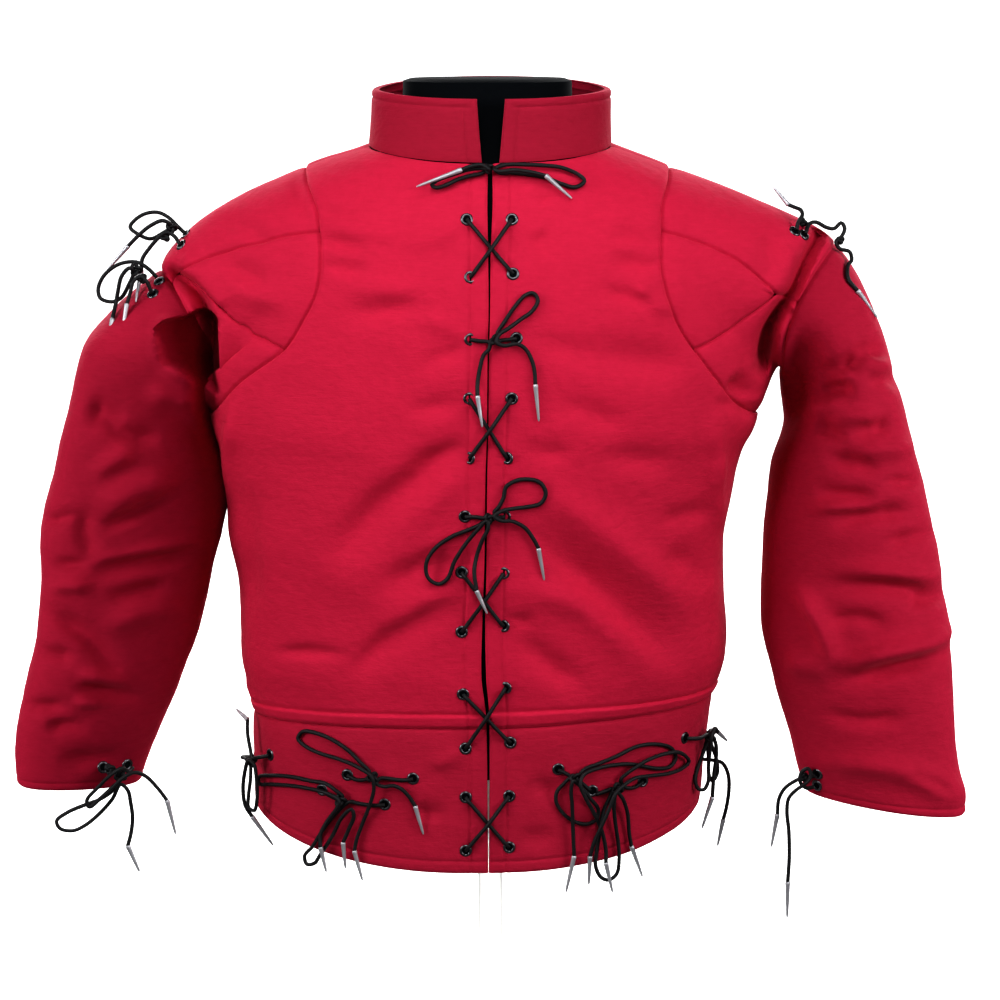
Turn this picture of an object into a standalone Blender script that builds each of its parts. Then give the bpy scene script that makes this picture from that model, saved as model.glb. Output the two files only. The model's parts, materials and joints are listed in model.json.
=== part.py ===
"""An arming doublet with its laces, worn by a limbless dress form on a pole and base plate.

Metres, +Z up. The doublet's front faces -Y and the part stands on z = 0, with its origin in the
middle of the base plate's underside. Left and right are the picture's, so "left" lies at -X.
Every cloth piece is a wall between a surface and the same surface moved in along its normals.
The surfaces are functions of two parameters, worked out from the tables of sections below.
"""
import math

import bpy
import numpy as np

MM = 0.001

# Driving dimensions, in millimetres where a table or name says so
CLOTH = 4.0 * MM            # wall of the padded cloth
COLLAR_CLOTH = 5.0 * MM
GAP = 0.3 * MM              # between pieces at a seam
SQUARENESS = 2.3            # exponent of the body's rounded section, 2 would be an ellipse
DIP_POWER = 1.5             # how early a section's height turns from its side to its front value
SIDES = {"left": -1.0, "right": 1.0}

# The body from the neck to the hem, in mm: heights at the side, front and back, the middle and
# half width, the depth before and behind the middle plane, the share of the half width at which
# the armscye seam lies in front and behind, and the front opening's place and width
BODY_COLUMNS = ("z_side", "z_front", "z_back", "middle", "half_width", "front", "back",
                "armscye_front", "armscye_back", "opening_x", "opening")
BODY_ROWS = {
    "neck":     (883, 872, 893, 0, 107, 86, 74, 1.0, 1.0, 0.5, 3.6),
    "yoke":     (865, 838, 862, -2, 160, 108, 108, 1.0, 1.0, 0.5, 4.4),
    "shoulder": (840, 796, 822, 0, 205, 121, 124, 0.735, 0.78, 0.0, 2.0),
    "blade":    (795, 752, 775, 0, 236, 129, 136, 0.628, 0.72, 0.0, 1.2),
    "chest":    (722, 703, 710, 0, 247, 135, 139, 0.735, 0.79, -1.0, 1.2),
    "armpit":   (646, 646, 646, -5, 245, 137, 138, 1.0, 1.0, -1.5, 1.2),
    "under":    (613, 613, 613, -8, 234, 136, 136, 1.0, 1.0, -2.5, 1.4),
    "ribs":     (578, 578, 578, -10, 227, 134, 133, 1.0, 1.0, -3.0, 1.6),
    "flank":    (530, 530, 530, -12, 222, 132, 130, 1.0, 1.0, -3.5, 1.8),
    "girth":    (480, 480, 480, -7, 219, 129, 127, 1.0, 1.0, -5.0, 2.4),
    "tuck":     (428, 430, 430, -6, 219, 127, 125, 1.0, 1.0, -5.0, 4.0),
    "waist":    (376, 384, 384, -8, 208, 123, 121, 1.0, 1.0, -1.5, 2.6),
    "hem":      (293, 254, 288, -12, 203, 124, 119, 1.0, 1.0, -1.0, 2.4),
}
BODY = {name: np.array([row[i] for row in BODY_ROWS.values()], float)
        for i, name in enumerate(BODY_COLUMNS)}
ROW = {name: float(i) for i, name in enumerate(BODY_ROWS)}

# The collar's base and top rings, in mm, and where its front edges stand
COLLAR_COLUMNS = ("z_side", "z_front", "z_back", "middle", "half_width", "front", "back",
                  "edge_left", "edge_right")
COLLAR_ROWS = {
    "base":   (883.3, 872.3, 893.3, 0, 107.0, 86.0, 74.0, -6.5, 8.5),
    "middle": (907, 899, 916, 1, 105.5, 83.5, 71.5, -9.0, 11.0),
    "top":    (932, 926, 941, 2, 105.0, 82.0, 71.0, -11.0, 13.5),
}
COLLAR = {name: np.array([row[i] for row in COLLAR_ROWS.values()], float)
          for i, name in enumerate(COLLAR_COLUMNS)}

# Each sleeve from its armhole to its cuff, in mm: the outer and inner points of each ring seen
# from the front, half its depth, the middle of its depth, and how far its front is drawn inward
SLEEVE_COLUMNS = ("outer_x", "outer_z", "inner_x", "inner_z", "depth", "middle_y", "bow")
SLEEVE_ROWS = {
    "left": (
        (-294, 774, -259, 641, 60, 2, 25),
        (-335, 738, -250, 628, 69, 1, 14),
        (-359, 708, -245.5, 614, 75, 0, 6),
        (-370, 664, -242, 598, 77, -2, 2),
        (-385, 606, -239, 575, 77, -4, 0),
        (-398, 554, -240, 545, 76, -7, 0),
        (-400, 502, -248, 510, 74, -10, 0),
        (-406, 448, -263, 450, 70, -14, 0),
        (-419, 392, -281, 400, 65, -18, 0),
        (-427, 352, -302, 353, 59, -21, 0),
        (-425, 318, -317, 312, 54, -24, 0),
    ),
    "right": (
        (308, 798, 259, 682, 58, 2, 18),
        (331, 760, 259, 675, 66, 1, 9),
        (345, 727, 260, 665, 71, 0, 3),
        (355, 696, 262, 652, 74, -1, 0),
        (369, 648, 263, 632, 75, -3, 0),
        (383, 597, 253, 599, 75, -5, 0),
        (393, 556, 247, 555, 74, -8, 0),
        (403, 510, 245, 507, 72, -11, 0),
        (412, 455, 245, 455, 69, -15, 0),
        (416, 404, 256, 404, 64, -18, 0),
        (420, 350, 271, 354, 58, -22, 0),
        (430, 287, 285, 304, 52, -26, 0),
    ),
}
SLEEVES = {side: {name: np.array([row[i] for row in rows], float)
                  for i, name in enumerate(SLEEVE_COLUMNS)}
           for side, rows in SLEEVE_ROWS.items()}

# How the shoulder's surface reaches the sleeve at the top of the arm, out and down, and the length
# of its curve's handles: a share of the way across, and so many mm more
SHOULDER_COLUMNS = ("out", "down", "handle_share", "handle_more")
SHOULDER_ROWS = {"left": (0.45, 0.89, 0.8, 30.0), "right": (0.75, 0.66, 0.5, 22.0)}
SHOULDERS = {side: dict(zip(SHOULDER_COLUMNS, row)) for side, row in SHOULDER_ROWS.items()}

# The gusset's point on the shoulder: how far down the armhole's front (0 top, 1 bottom) and how
# far out from the armscye seam (0) to the sleeve seam (1)
GUSSET_POINT = {"left": (0.20, 0.95), "right": (0.42, 0.80)}
LOWER_SEAM_BEND = 1.7       # how late the gusset's lower seam turns up, 1 would be evenly
GUSSET_TIP_CUT = 0.1        # of the gusset's last step, cut off so that its point isn't a sliver
SPLIT_DIRECTION = np.array([0.31, 0.17, 1.0])

# The form inside: a row of the trunk's surface, how far it is moved in and the widest that its half
# width may be, in mm
FORM_ROWS = ((0.5, 4.5, 999), (1.0, 7.0, 999), (1.5, 11, 166), (2.0, 16, 176), (3.5, 21, 182),
             (5.0, 23, 188), (7.5, 23, 188), (9.5, 22, 180), (11.0, 22, 174))
# Its neck and its foot are level rings, in mm: height, half width, front and back depth
FORM_NECK = ((941, 68, 58, 52), (939, 74, 63, 56), (888, 76, 65, 58), (877, 84, 70, 61))
FORM_FOOT = ((338, 172, 97, 95), (330, 166, 92, 90))
FORM_MIDDLE = -2.0
# The pole and the base plate, turned about the origin's axis: radius and height in mm
POLE_PROFILE = ((28, 8.3), (28, 12), (22, 15), (11, 19), (11, 316), (30, 323), (30, 329.7))
BASE_PROFILE = ((163, 0), (165, 2), (165, 6), (163, 8))
POLE_SIDES = 16
BASE_SIDES = 40

# Laces. Each route is chosen by hand, in mm. A lace starts at its eyelet, and its last two points are
# its aglet's top and tip. On the front a point is (x, z, how far the lace's middle stands off the
# cloth), and elsewhere it is (x, z, y).
CORD = 3.4 * MM
CORD_SPACING = 12.0 * MM
AGLET_TOP = 1.3             # the aglet's radius at its top and tip, as shares of the lace's
AGLET_TIP = 0.45
AGLET_STEP = 1.2 * MM       # from the lace's radius to the aglet's
CROSS_LIFT = 2.4            # of a crossing strand off the cloth, mm
CROSS_OVER = 4.3            # how much more the upper strand stands off over the lower one, mm

# Each cross down the opening: its upper left, upper right, lower left and lower right eyelets (x, z)
CROSSES = {
    "cross_1": ((-19, 826), (19, 826), (-16, 778), (20, 781)),
    "cross_2": ((-17, 676), (19, 676), (-17, 625), (15, 625)),
    "cross_3": ((-24, 525), (12, 524), (-24, 472), (12, 477)),
    "cross_4": ((-23, 416), (14, 422), (-21, 367), (18, 372)),
    "cross_5": ((-21, 323), (17, 324), (-21, 275), (17, 278)),
}
FRONT_LACES = {
    "collar_left": (
        (-10, 871, 2.2), (-3, 867, 2.6), (-6, 864, 3), (-15, 862, 3), (-26, 859, 3), (-37, 854, 3),
        (-45, 852, 3), (-49, 854, 3), (-44, 858, 4), (-30, 863, 5.2), (-17, 867, 6),
        (-5, 868, 7.4), (0, 867, 10), (-6, 871, 11.5), (-16, 870, 11), (-24, 867, 10.5),
        (-62, 853, 8.5)),
    "collar_right": (
        (11, 871, 2.2), (5, 867, 2.6), (9, 864, 3), (18, 864, 3), (31, 863, 3), (48, 860, 3),
        (61, 855, 3), (73, 852, 3), (81, 857, 3), (76, 862, 3.4), (62, 868, 5), (48, 870, 5.6),
        (29, 871, 6.4), (14, 871, 7.4), (4, 868, 9.6), (8, 866, 11.5), (21, 867, 10.8),
        (36, 865, 9.6), (48, 862, 8.4), (70, 843, 4)),
    "front_bow_2_left": (
        (-16, 726, 2.2), (-8, 725, 2.4), (0, 724, 3.6), (0, 719, 4), (-5, 713, 3), (-8, 702, 2.4),
        (-10, 689, 3), (-10, 679, 6), (-6, 653, 8)),
    "front_bow_2_right": (
        (23, 727, 2.2), (14, 726, 2.4), (6, 726, 3), (7, 732, 3.4), (14, 743, 2.6), (21, 753, 2.4),
        (30, 763, 2.4), (37, 765, 2.4), (41, 759, 2.4), (36, 750, 3), (26, 743, 5), (16, 736, 7),
        (8, 731, 9), (6, 725, 10.2), (12, 722, 9), (23, 723, 6.4), (30, 719, 4), (35, 711, 3),
        (38, 701, 2.4), (39, 688, 2.4), (42, 657, 2.2)),
    "front_bow_3_left": (
        (-21, 574, 2.2), (-11, 574, 2.4), (-3, 572, 3.2), (-9, 567, 3), (-20, 562, 2.4),
        (-32, 557, 2.4), (-46, 547, 2.4), (-54, 534, 2.4), (-53, 521, 2.4), (-44, 515, 2.4),
        (-36, 520, 2.4), (-30, 535, 3), (-21, 550, 4.4), (-10, 564, 7), (-2, 572, 9.4),
        (-1, 566, 10), (-6, 555, 7.4), (-11, 540, 5), (-13, 527, 8.4), (-11, 511, 11.6), (-2, 491, 12)),
    "front_bow_3_right": (
        (13, 574, 2.2), (7, 574, 2.4), (4, 578, 3.2), (8, 583, 3), (12, 591, 2.4), (14, 600, 2.4),
        (21, 605, 2.4), (31, 607, 2.4), (43, 604, 2.4), (48, 595, 2.4), (44, 586, 2.4),
        (33, 583, 3.4), (21, 582, 5.6), (10, 580, 8.2), (4, 576, 10), (10, 572, 9), (19, 571, 6.6),
        (30, 565, 4), (38, 554, 3), (42, 546, 2.4), (47, 518, 2.2)),
    "skirt_1_left": (
        (-125, 339, 2.2), (-116, 336, 2.4), (-107, 338, 3), (-105, 344, 3.6), (-113, 352, 3.2),
        (-124, 362, 2.4), (-140, 371, 2.4), (-156, 375, 2.4), (-165, 374, 2.4), (-169, 367, 2.4),
        (-164, 362, 2.4), (-151, 357, 2.4), (-135, 354, 3), (-122, 351, 5), (-111, 347, 8),
        (-103, 342, 10), (-101, 332, 9), (-104, 318, 7.2), (-111, 299, 4.4), (-117, 282, 4),
        (-119, 272, 4), (-112, 246, 4)),
    "skirt_1_right": (
        (-67, 339, 2.2), (-77, 338, 2.4), (-88, 339, 2.8), (-96, 339, 4), (-99, 335, 6.4),
        (-92, 333, 7.6), (-84, 334, 7), (-76, 330, 5), (-70, 323, 3), (-65, 315, 2.4),
        (-58, 290, 2.2)),
    "skirt_2_left": (
        (-148, 323, 2.2), (-140, 319, 2.4), (-131, 317, 3.2), (-129, 321, 5.6), (-135, 326, 6.8),
        (-144, 331, 6.2), (-158, 331, 4), (-177, 331, 2.4), (-196, 327, 2.4), (-208, 320, 2.4),
        (-208, 315, 2.4), (-196, 319, 2.4), (-175, 323, 2.4), (-158, 324, 5), (-144, 323, 7),
        (-132, 318, 9.4), (-134, 311, 9.6), (-142, 299, 8), (-149, 285, 9), (-149, 274, 10.4),
        (-144, 252, 9.6)),
    "skirt_2_right": (
        (-92, 315, 2.2), (-103, 314, 2.4), (-115, 315, 2.8), (-123, 316, 3.8), (-130, 310, 4),
        (-141, 297, 3.2), (-150, 283, 3), (-157, 271, 3.4), (-164, 262, 5), (-162, 255, 5.4),
        (-155, 257, 5.4), (-150, 265, 6), (-138, 285, 5.4), (-130, 302, 7.4), (-121, 311, 9),
        (-119, 305, 8), (-124, 291, 5), (-129, 279, 5), (-127, 256, 5)),
    "skirt_4_left": (
        (60, 347, 2.2), (66, 344, 2.6), (70, 341, 3.4), (65, 335, 3), (59, 328, 2.4),
        (58, 319, 2.4), (65, 307, 2.4), (76, 299, 2.4), (86, 297, 2.4), (94, 301, 2.8),
        (95, 310, 4), (88, 321, 6.6), (80, 332, 8.4), (73, 339, 9.8), (71, 331, 9.4),
        (72, 316, 7.6), (73, 290, 5), (74, 269, 4.4), (67, 237, 4.4)),
    "skirt_4_right": (
        (88, 327, 2.2), (83, 332, 2.6), (78, 338, 3.4), (82, 346, 3.2), (96, 351, 2.6),
        (111, 356, 2.4), (129, 363, 2.4), (146, 363, 2.4), (160, 357, 2.4), (165, 347, 2.4),
        (160, 340, 2.4), (149, 340, 2.4), (136, 344, 2.4), (123, 348, 2.8), (107, 349, 4.8),
        (95, 348, 7), (82, 344, 10.4), (79, 337, 13.2), (83, 325, 13.2), (91, 309, 10),
        (98, 292, 8), (102, 273, 7.6), (102, 262, 8.6), (108, 235, 9.4)),
    "skirt_5_left": (
        (93, 323, 2.2), (100, 325, 2.6), (108, 327, 3.4), (105, 319, 3.2), (100, 308, 2.8),
        (97, 291, 2.8), (94, 272, 3.2), (93, 259, 4.6), (98, 248, 5), (105, 245, 5), (112, 250, 5),
        (114, 264, 4.6), (113, 278, 4), (110, 299, 5.4), (109, 315, 8), (111, 326, 10),
        (116, 320, 9), (121, 305, 5.6), (123, 284, 4), (125, 273, 4.4), (135, 244, 4.4)),
    "skirt_5_right": (
        (135, 330, 2.2), (127, 326, 2.4), (118, 328, 3.2), (115, 335, 4.2), (121, 341, 6),
        (129, 346, 7), (139, 351, 7.4), (152, 354, 7.6), (165, 354, 8), (174, 347, 6),
        (177, 340, 4), (170, 336, 5), (158, 335, 6.2), (141, 336, 6.6), (128, 336, 7.6),
        (118, 332, 10.4), (110, 326, 14), (105, 314, 14.4), (98, 298, 13.6), (91, 281, 10),
        (88, 269, 8), (87, 243, 6)),
}
SIDE_LACES = {
    "skirt_3_front": (
        (-197, 345, -62.3), (-205, 342, -58), (-212, 341, -56), (-215, 350, -52), (-217, 363, -50),
        (-217, 374, -48), (-228, 381, -37)),
    "skirt_3_side": (
        (-214.8, 328.9, -7.9), (-225, 329, -9), (-221, 333, -29), (-217, 337, -49),
        (-214, 336, -59), (-214, 323, -61), (-216, 307, -61), (-216, 296, -61), (-211, 294, -63),
        (-208, 305, -67), (-208, 324, -69), (-210, 338, -69), (-215, 341, -65), (-219, 329, -61),
        (-221, 312, -59), (-219, 297, -59), (-213, 287, -59), (-195, 260, -57)),
    "skirt_6_front": (
        (175, 362, -69), (187, 360, -61), (195, 359, -46), (194, 350, -43), (190, 338, -45),
        (186, 328, -49), (184, 319, -52), (187, 311, -52), (192, 310, -51), (196, 317, -49),
        (196, 331, -49), (197, 347, -53), (198, 360, -56), (201, 366, -49), (205, 360, -38),
        (215, 346, -16)),
    "skirt_6_side": (
        (197.7, 348.7, 3.5), (204, 348, 4), (202, 355, -12), (198, 357, -30), (200, 346, -30),
        (205, 331, -27), (206, 320, -27), (202, 312, -28), (198, 318, -34), (197, 333, -36),
        (196, 348, -38), (196, 356, -40), (202, 352, -38), (204, 341, -36), (202, 319, -35),
        (201, 298, -34), (192, 269, -34)),
    "skirt_7_side": (
        (191.5, 318.7, 22.2), (206, 317, 24), (214, 315, 22), (219, 306, 18), (220, 293, 16),
        (218, 276, 15), (215, 263, 15), (210, 238, 15)),
    "shoulder_1_upper": (
        (-268.7, 804.8, -5.1), (-270, 806, -6), (-277, 812, -2), (-285, 819, 2), (-294, 823, 4),
        (-305, 822, 4), (-315, 816, 4), (-319, 810, 4), (-312, 804, 2), (-301, 800, 0),
        (-290, 805, -4), (-281, 812, -8), (-288, 817, -12), (-300, 812, -10), (-311, 803, -8),
        (-320, 794, -6), (-339, 773, -4)),
    "shoulder_1_lower": (
        (-272.5, 796.6, -16.6), (-278, 804, -16), (-285, 807, -16), (-292, 802, -14), (-301, 792, -12),
        (-307, 783, -11), (-308, 773, -12), (-311, 747, -32)),
    "shoulder_2_upper": (
        (-293, 768, -23), (-301, 776, -23), (-311, 781, -19), (-324, 780, -17), (-334, 775, -15),
        (-342, 767, -15), (-346, 757, -15), (-344, 749, -17), (-334, 746, -19), (-325, 750, -22),
        (-318, 761, -25), (-313, 773, -27), (-316, 777, -31), (-323, 770, -30), (-327, 756, -28),
        (-330, 740, -26), (-331, 733, -31), (-335, 705, -55)),
    "shoulder_2_lower": (
        (-296.4, 755.2, -32.2), (-301, 766, -35), (-306, 770, -35), (-312, 766, -36), (-315, 756, -37),
        (-318, 746, -39), (-322, 719, -48)),
    "shoulder_3_upper": (
        (269, 811, -32), (273, 816, -20), (270, 822, -16), (254, 841, -10)),
    "shoulder_3_lower": (
        (276.7, 807.5, -30.4), (281, 815, -20), (287, 816, -16), (297, 811, -13), (304, 810, -10),
        (310, 815, -10), (313, 810, -11), (310, 803, -13), (305, 799, -16), (308, 793, -19),
        (317, 790, -17), (319, 783, -17), (315, 779, -25), (314, 768, -37), (322, 758, -39),
        (340, 734, -35)),
    "cuff_left_loop": (
        (-340.4, 336.1, -73.3), (-334, 334, -73), (-330, 329, -73), (-335, 316, -71), (-348, 306, -69),
        (-361, 301, -69), (-377, 294, -69), (-387, 286, -69), (-384, 279, -69), (-373, 277, -69),
        (-362, 282, -70), (-349, 293, -72), (-336, 308, -75), (-328, 322, -77), (-322, 317, -77),
        (-320, 304, -73), (-319, 289, -70), (-321, 274, -69), (-324, 263, -69), (-314, 239, -69)),
    "cuff_left_end": (
        (-319.4, 332.1, -58.3), (-322, 331, -66), (-327, 337, -78), (-336, 332, -82), (-347, 321, -81),
        (-358, 308, -80), (-356, 302, -80), (-345, 311, -81), (-332, 323, -82), (-323, 331, -83),
        (-315, 334, -81), (-306, 329, -75), (-296, 317, -71), (-288, 305, -69), (-281, 274, -69)),
    "cuff_right_short": (
        (291, 324, -57), (284, 322, -51), (275, 318, -49), (265, 310, -47), (260, 299, -45),
        (259, 285, -45), (254, 255, -45)),
    "cuff_right_long": (
        (290.6, 313.2, -53.3), (284, 312, -53), (278, 318, -55), (279, 327, -55), (285, 331, -57),
        (287, 324, -58), (282, 318, -60), (274, 311, -57), (268, 302, -53), (267, 289, -51),
        (269, 272, -50), (270, 247, -49), (269, 223, -49), (269, 190, -49)),
}

# Rows of the body's grid at which the pieces are cut, shared by pieces that meet
YOKE_ROWS = (0.0, 0.5, 1.0)
TOP_ROWS = (1.0, 1.3, 1.65, 2.0)
GUSSET_ROWS = (2.0, 2.4, 2.8, 3.2, 3.6, 4.0)
UNDERARM_ROWS = (4.0, 4.25, 4.5, 4.75, 5.0)
FLANK_ROWS = (5.0, 6.0, 7.0, 8.0, 9.0, 10.0, 11.0)
SKIRT_ROWS = (11.0, 11.5, 12.0)
FRONT_COLUMNS = 9
BACK_COLUMNS = 16
SHOULDER_STEPS = 6


def clear_scene():
    """Removes whatever the file held."""
    for item in list(bpy.data.objects):
        bpy.data.objects.remove(item, do_unlink=True)


def material(name, colour, roughness, metallic=0.0):
    """A plain Principled finish."""
    finish = bpy.data.materials.new(name)
    finish.use_nodes = True
    shader = finish.node_tree.nodes["Principled BSDF"]
    shader.inputs["Base Color"].default_value = (*colour, 1.0)
    shader.inputs["Roughness"].default_value = roughness
    shader.inputs["Metallic"].default_value = metallic
    finish.diffuse_color = (*colour, 1.0)
    return finish


def hermite(start, start_slope, end, end_slope, share):
    """A cubic from start to end with the given slopes, read at share 0 to 1."""
    two, three = share ** 2, share ** 3
    return ((2 * three - 3 * two + 1) * start + (three - 2 * two + share) * start_slope
            + (3 * two - 2 * three) * end + (three - two) * end_slope)


def smooth(column, at):
    """A cubic through a table's column, read at rows counted from 0, its slopes being half the
    difference between the rows on either side."""
    slopes = np.gradient(column)
    at = np.asarray(at, float)
    first = np.clip(np.floor(at).astype(int), 0, len(column) - 2)
    return hermite(column[first], slopes[first], column[first + 1], slopes[first + 1], at - first)


def rounded_ring(angle, middle, half_width, front, back, z_side, z_front, z_back):
    """A point of a rounded section: angle 0 at +X, a quarter turn at the front, then -X. Its
    height runs from z_side to z_front or z_back with the sine's DIP_POWER."""
    cosine, sine = np.cos(angle), np.sin(angle)
    depth = np.where(sine > 0, front, back)
    x = middle + half_width * np.sign(cosine) * np.abs(cosine) ** (2 / SQUARENESS)
    y = -depth * np.sign(sine) * np.abs(sine) ** (2 / SQUARENESS)
    z = z_side + (np.where(sine > 0, z_front, z_back) - z_side) * np.abs(sine) ** DIP_POWER
    return np.stack([x, y, z], axis=-1) * MM


def table_ring(table, angle, at):
    """A rounded ring read from a table's smoothed columns at a row."""
    names = ("middle", "half_width", "front", "back", "z_side", "z_front", "z_back")
    return rounded_ring(angle, *(smooth(table[name], at) for name in names))


def body(angle, at):
    """The outer surface of the doublet's trunk."""
    return table_ring(BODY, angle, at)


def collar(angle, at):
    """The outer surface of the stand collar."""
    return table_ring(COLLAR, angle, at)


def angle_at_x(x, at, table=BODY):
    """The angle at which a section's front reaches a given x, in mm."""
    share = (x - smooth(table["middle"], at)) / smooth(table["half_width"], at)
    return np.arccos(np.sign(share) * np.abs(np.clip(share, -1, 1)) ** (SQUARENESS / 2))


def armscye_angle(side, at, face="front"):
    """The angle of the armscye seam at a row, or of the shoulder or side seam where the seam's
    share of the half width is 1."""
    share = np.clip(smooth(BODY["armscye_" + face], at), 0.0, 1.0)
    turn = np.arccos(share ** (SQUARENESS / 2))
    turn = np.where((np.asarray(at) <= ROW["yoke"]) | (np.asarray(at) >= ROW["armpit"]), 0.0, turn)
    from_side = turn if face == "front" else -turn
    return from_side if SIDES[side] > 0 else np.pi - from_side


def front_span(side, share, at):
    """A front's angle at a share of the way from the opening to the side."""
    edge = smooth(BODY["opening_x"], at) + SIDES[side] * smooth(BODY["opening"], at) / 2
    opening = angle_at_x(edge, at)
    return opening + share * (armscye_angle(side, at) - opening)


def back_span(share, at):
    """The back's angle at a share of the way from the right side round to the left."""
    right = armscye_angle("right", at, "back")
    left = armscye_angle("left", at, "back")
    return right + share * (left - 2 * np.pi - right)


def armscye(side, turn):
    """A point of the armscye seam: turn 0 at the top, 0.5 at the armpit by way of the front and 1
    at the top again by way of the back. Returns the angle and row on the body."""
    turn = np.asarray(turn, float)
    at = 1 + 4 * np.where(turn <= 0.5, 2 * turn, 2 - 2 * turn)
    front, back = armscye_angle(side, at), armscye_angle(side, at, "back")
    return np.where(turn <= 0.5, front, back), at


def sleeve(side, turn, at):
    """The sleeve's outer surface: turn goes round from the outer or top point by way of the
    front, and at counts the table's rows down the sleeve."""
    table = SLEEVES[side]
    value = {name: smooth(table[name], at) for name in SLEEVE_COLUMNS}
    cosine, sine = np.cos(2 * np.pi * turn), np.sin(2 * np.pi * turn)
    inward = -SIDES[side] * value["bow"] * np.maximum(sine, 0.0) ** 1.5
    x = (value["outer_x"] * (1 + cosine) + value["inner_x"] * (1 - cosine)) / 2 + inward
    z = (value["outer_z"] * (1 + cosine) + value["inner_z"] * (1 - cosine)) / 2
    y = value["middle_y"] - value["depth"] * np.sign(sine) * np.abs(sine) ** 0.92
    return np.stack([x, y, z], axis=-1) * MM


def unit(vectors):
    """Vectors brought to length 1."""
    return vectors / np.maximum(np.linalg.norm(vectors, axis=-1, keepdims=True), 1e-12)


def normals_of(surface, first, second, step_first=0.004, step_second=0.02):
    """Normals of a surface of two parameters, from the cross product of central differences."""
    along_first = surface(first + step_first, second) - surface(first - step_first, second)
    along_second = surface(first, second + step_second) - surface(first, second - step_second)
    return unit(np.cross(along_first, along_second))


def body_normals(angle, at):
    """Outward normals of the trunk."""
    inside = np.clip(at, 0.02, len(BODY_ROWS) - 1.02)
    return normals_of(body, angle, inside, 0.01)


def leaving(side, turn):
    """The way in which the shoulder's surface reaches the sleeve seam: down the arm at the top,
    in towards the armhole at the front and back, straight down at the armpit."""
    cosine, sine = np.cos(2 * np.pi * turn)[..., None], np.sin(2 * np.pi * turn)[..., None]
    out = SIDES[side]
    top = np.array([SHOULDERS[side]["out"] * out, 0, -SHOULDERS[side]["down"]])
    armpit = np.array([0.0, 0, -1.0])
    front, back = np.array([0.8 * out, 0.4, -0.4]), np.array([0.85 * out, -0.1, -0.5])
    return unit(top * np.maximum(cosine, 0) + armpit * np.maximum(-cosine, 0)
                + front * np.maximum(sine, 0) + back * np.maximum(-sine, 0))


def shoulder(side, turn, out):
    """The shoulder's surface, from the armscye seam (out 0) to the sleeve seam (out 1): for each
    turn a cubic that leaves in line with the trunk and arrives along the arm."""
    turn, out = np.broadcast_arrays(np.asarray(turn, float), np.asarray(out, float))
    angle, at = armscye(side, turn)
    start = body(angle, at)
    step = 0.004
    before, after = armscye(side, np.clip(turn - step, 0, 1)), armscye(side, np.clip(turn + step, 0, 1))
    along = unit(body(*after) - body(*before))
    off_seam = unit(np.cross(body_normals(angle, at), along)) * SIDES[side]
    end = sleeve(side, turn, np.zeros_like(turn))
    share, more = SHOULDERS[side]["handle_share"], SHOULDERS[side]["handle_more"]
    reach = share * np.linalg.norm(end - start, axis=-1, keepdims=True) + more * MM
    return hermite(start, off_seam * reach, end, leaving(side, turn) * reach, out[..., None])


def shoulder_normals(side, turn, out):
    """Outward normals of the shoulder: the trunk's own at the armscye seam."""
    turn, out = np.broadcast_arrays(np.asarray(turn, float), np.asarray(out, float))
    inner = np.clip(turn, 0.006, 0.994)
    found = normals_of(lambda a, b: shoulder(side, a, b), inner, np.clip(out, 0.03, 0.97), 0.005, 0.02)
    found = found * SIDES[side]
    trunk = body_normals(*armscye(side, turn))
    return np.where(out[..., None] < 1e-6, trunk, found)


def sleeve_normals(side, turn, at):
    """Outward normals of a sleeve."""
    inside = np.clip(at, 0.05, len(SLEEVE_ROWS[side]) - 1.05)
    return normals_of(lambda a, b: sleeve(side, a, b), turn, inside) * SIDES[side]


def seam_normals(side, turn):
    """The normals that shoulder and sleeve share where they meet."""
    ones = np.ones_like(turn)
    return unit(shoulder_normals(side, turn, ones) + sleeve_normals(side, turn, 0 * ones))


def trimmed(points, distance, closed):
    """Moves a grid's border rows in by a distance along its lines, to leave the seams' gaps."""
    result = points.copy()
    for axis in ((1,) if closed else (0, 1)):
        lines = np.moveaxis(points, axis, 0)
        target = np.moveaxis(result, axis, 0)
        target[0] += unit(lines[1] - lines[0]) * distance
        target[-1] += unit(lines[-2] - lines[-1]) * distance
    return result


def wall_faces(across, down, closed, outer_points):
    """Faces of a wall on a grid of points: the outer side, the inner side and the borders. A border
    is split into triangles by its points' places, so that two pieces at a seam are split alike."""
    count = across * down
    order = outer_points @ SPLIT_DIRECTION

    def border_faces(a, b):
        if order[a] < order[b]:
            return [(a, b, b + count), (a, b + count, a + count)]
        return [(a, b, a + count), (b, b + count, a + count)]

    def quads(columns, rows):
        first = [(i, (i + 1) % across) for i in range(columns)]
        return [(a * down + j, b * down + j, b * down + j + 1, a * down + j + 1)
                for a, b in first for j in range(rows)]

    outer = quads(across if closed else across - 1, down - 1)
    inner = [tuple(count + k for k in reversed(face)) for face in outer]
    border = []
    for i in range(across if closed else across - 1):
        a, b = i * down, (i + 1) % across * down
        border += border_faces(b, a)
        border += border_faces(a + down - 1, b + down - 1)
    if not closed:
        last = (across - 1) * down
        for j in range(down - 1):
            border += border_faces(j, j + 1)
            border += border_faces(last + j + 1, last + j)
    return outer + inner + border


def signed_volume(points, faces):
    """Six times the volume inside the faces, negative if they point in."""
    total = 0.0
    for face in faces:
        first = points[face[0]]
        for second, third in zip(face[1:], face[2:]):
            total += float(np.dot(first, np.cross(points[second], points[third])))
    return total


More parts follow.
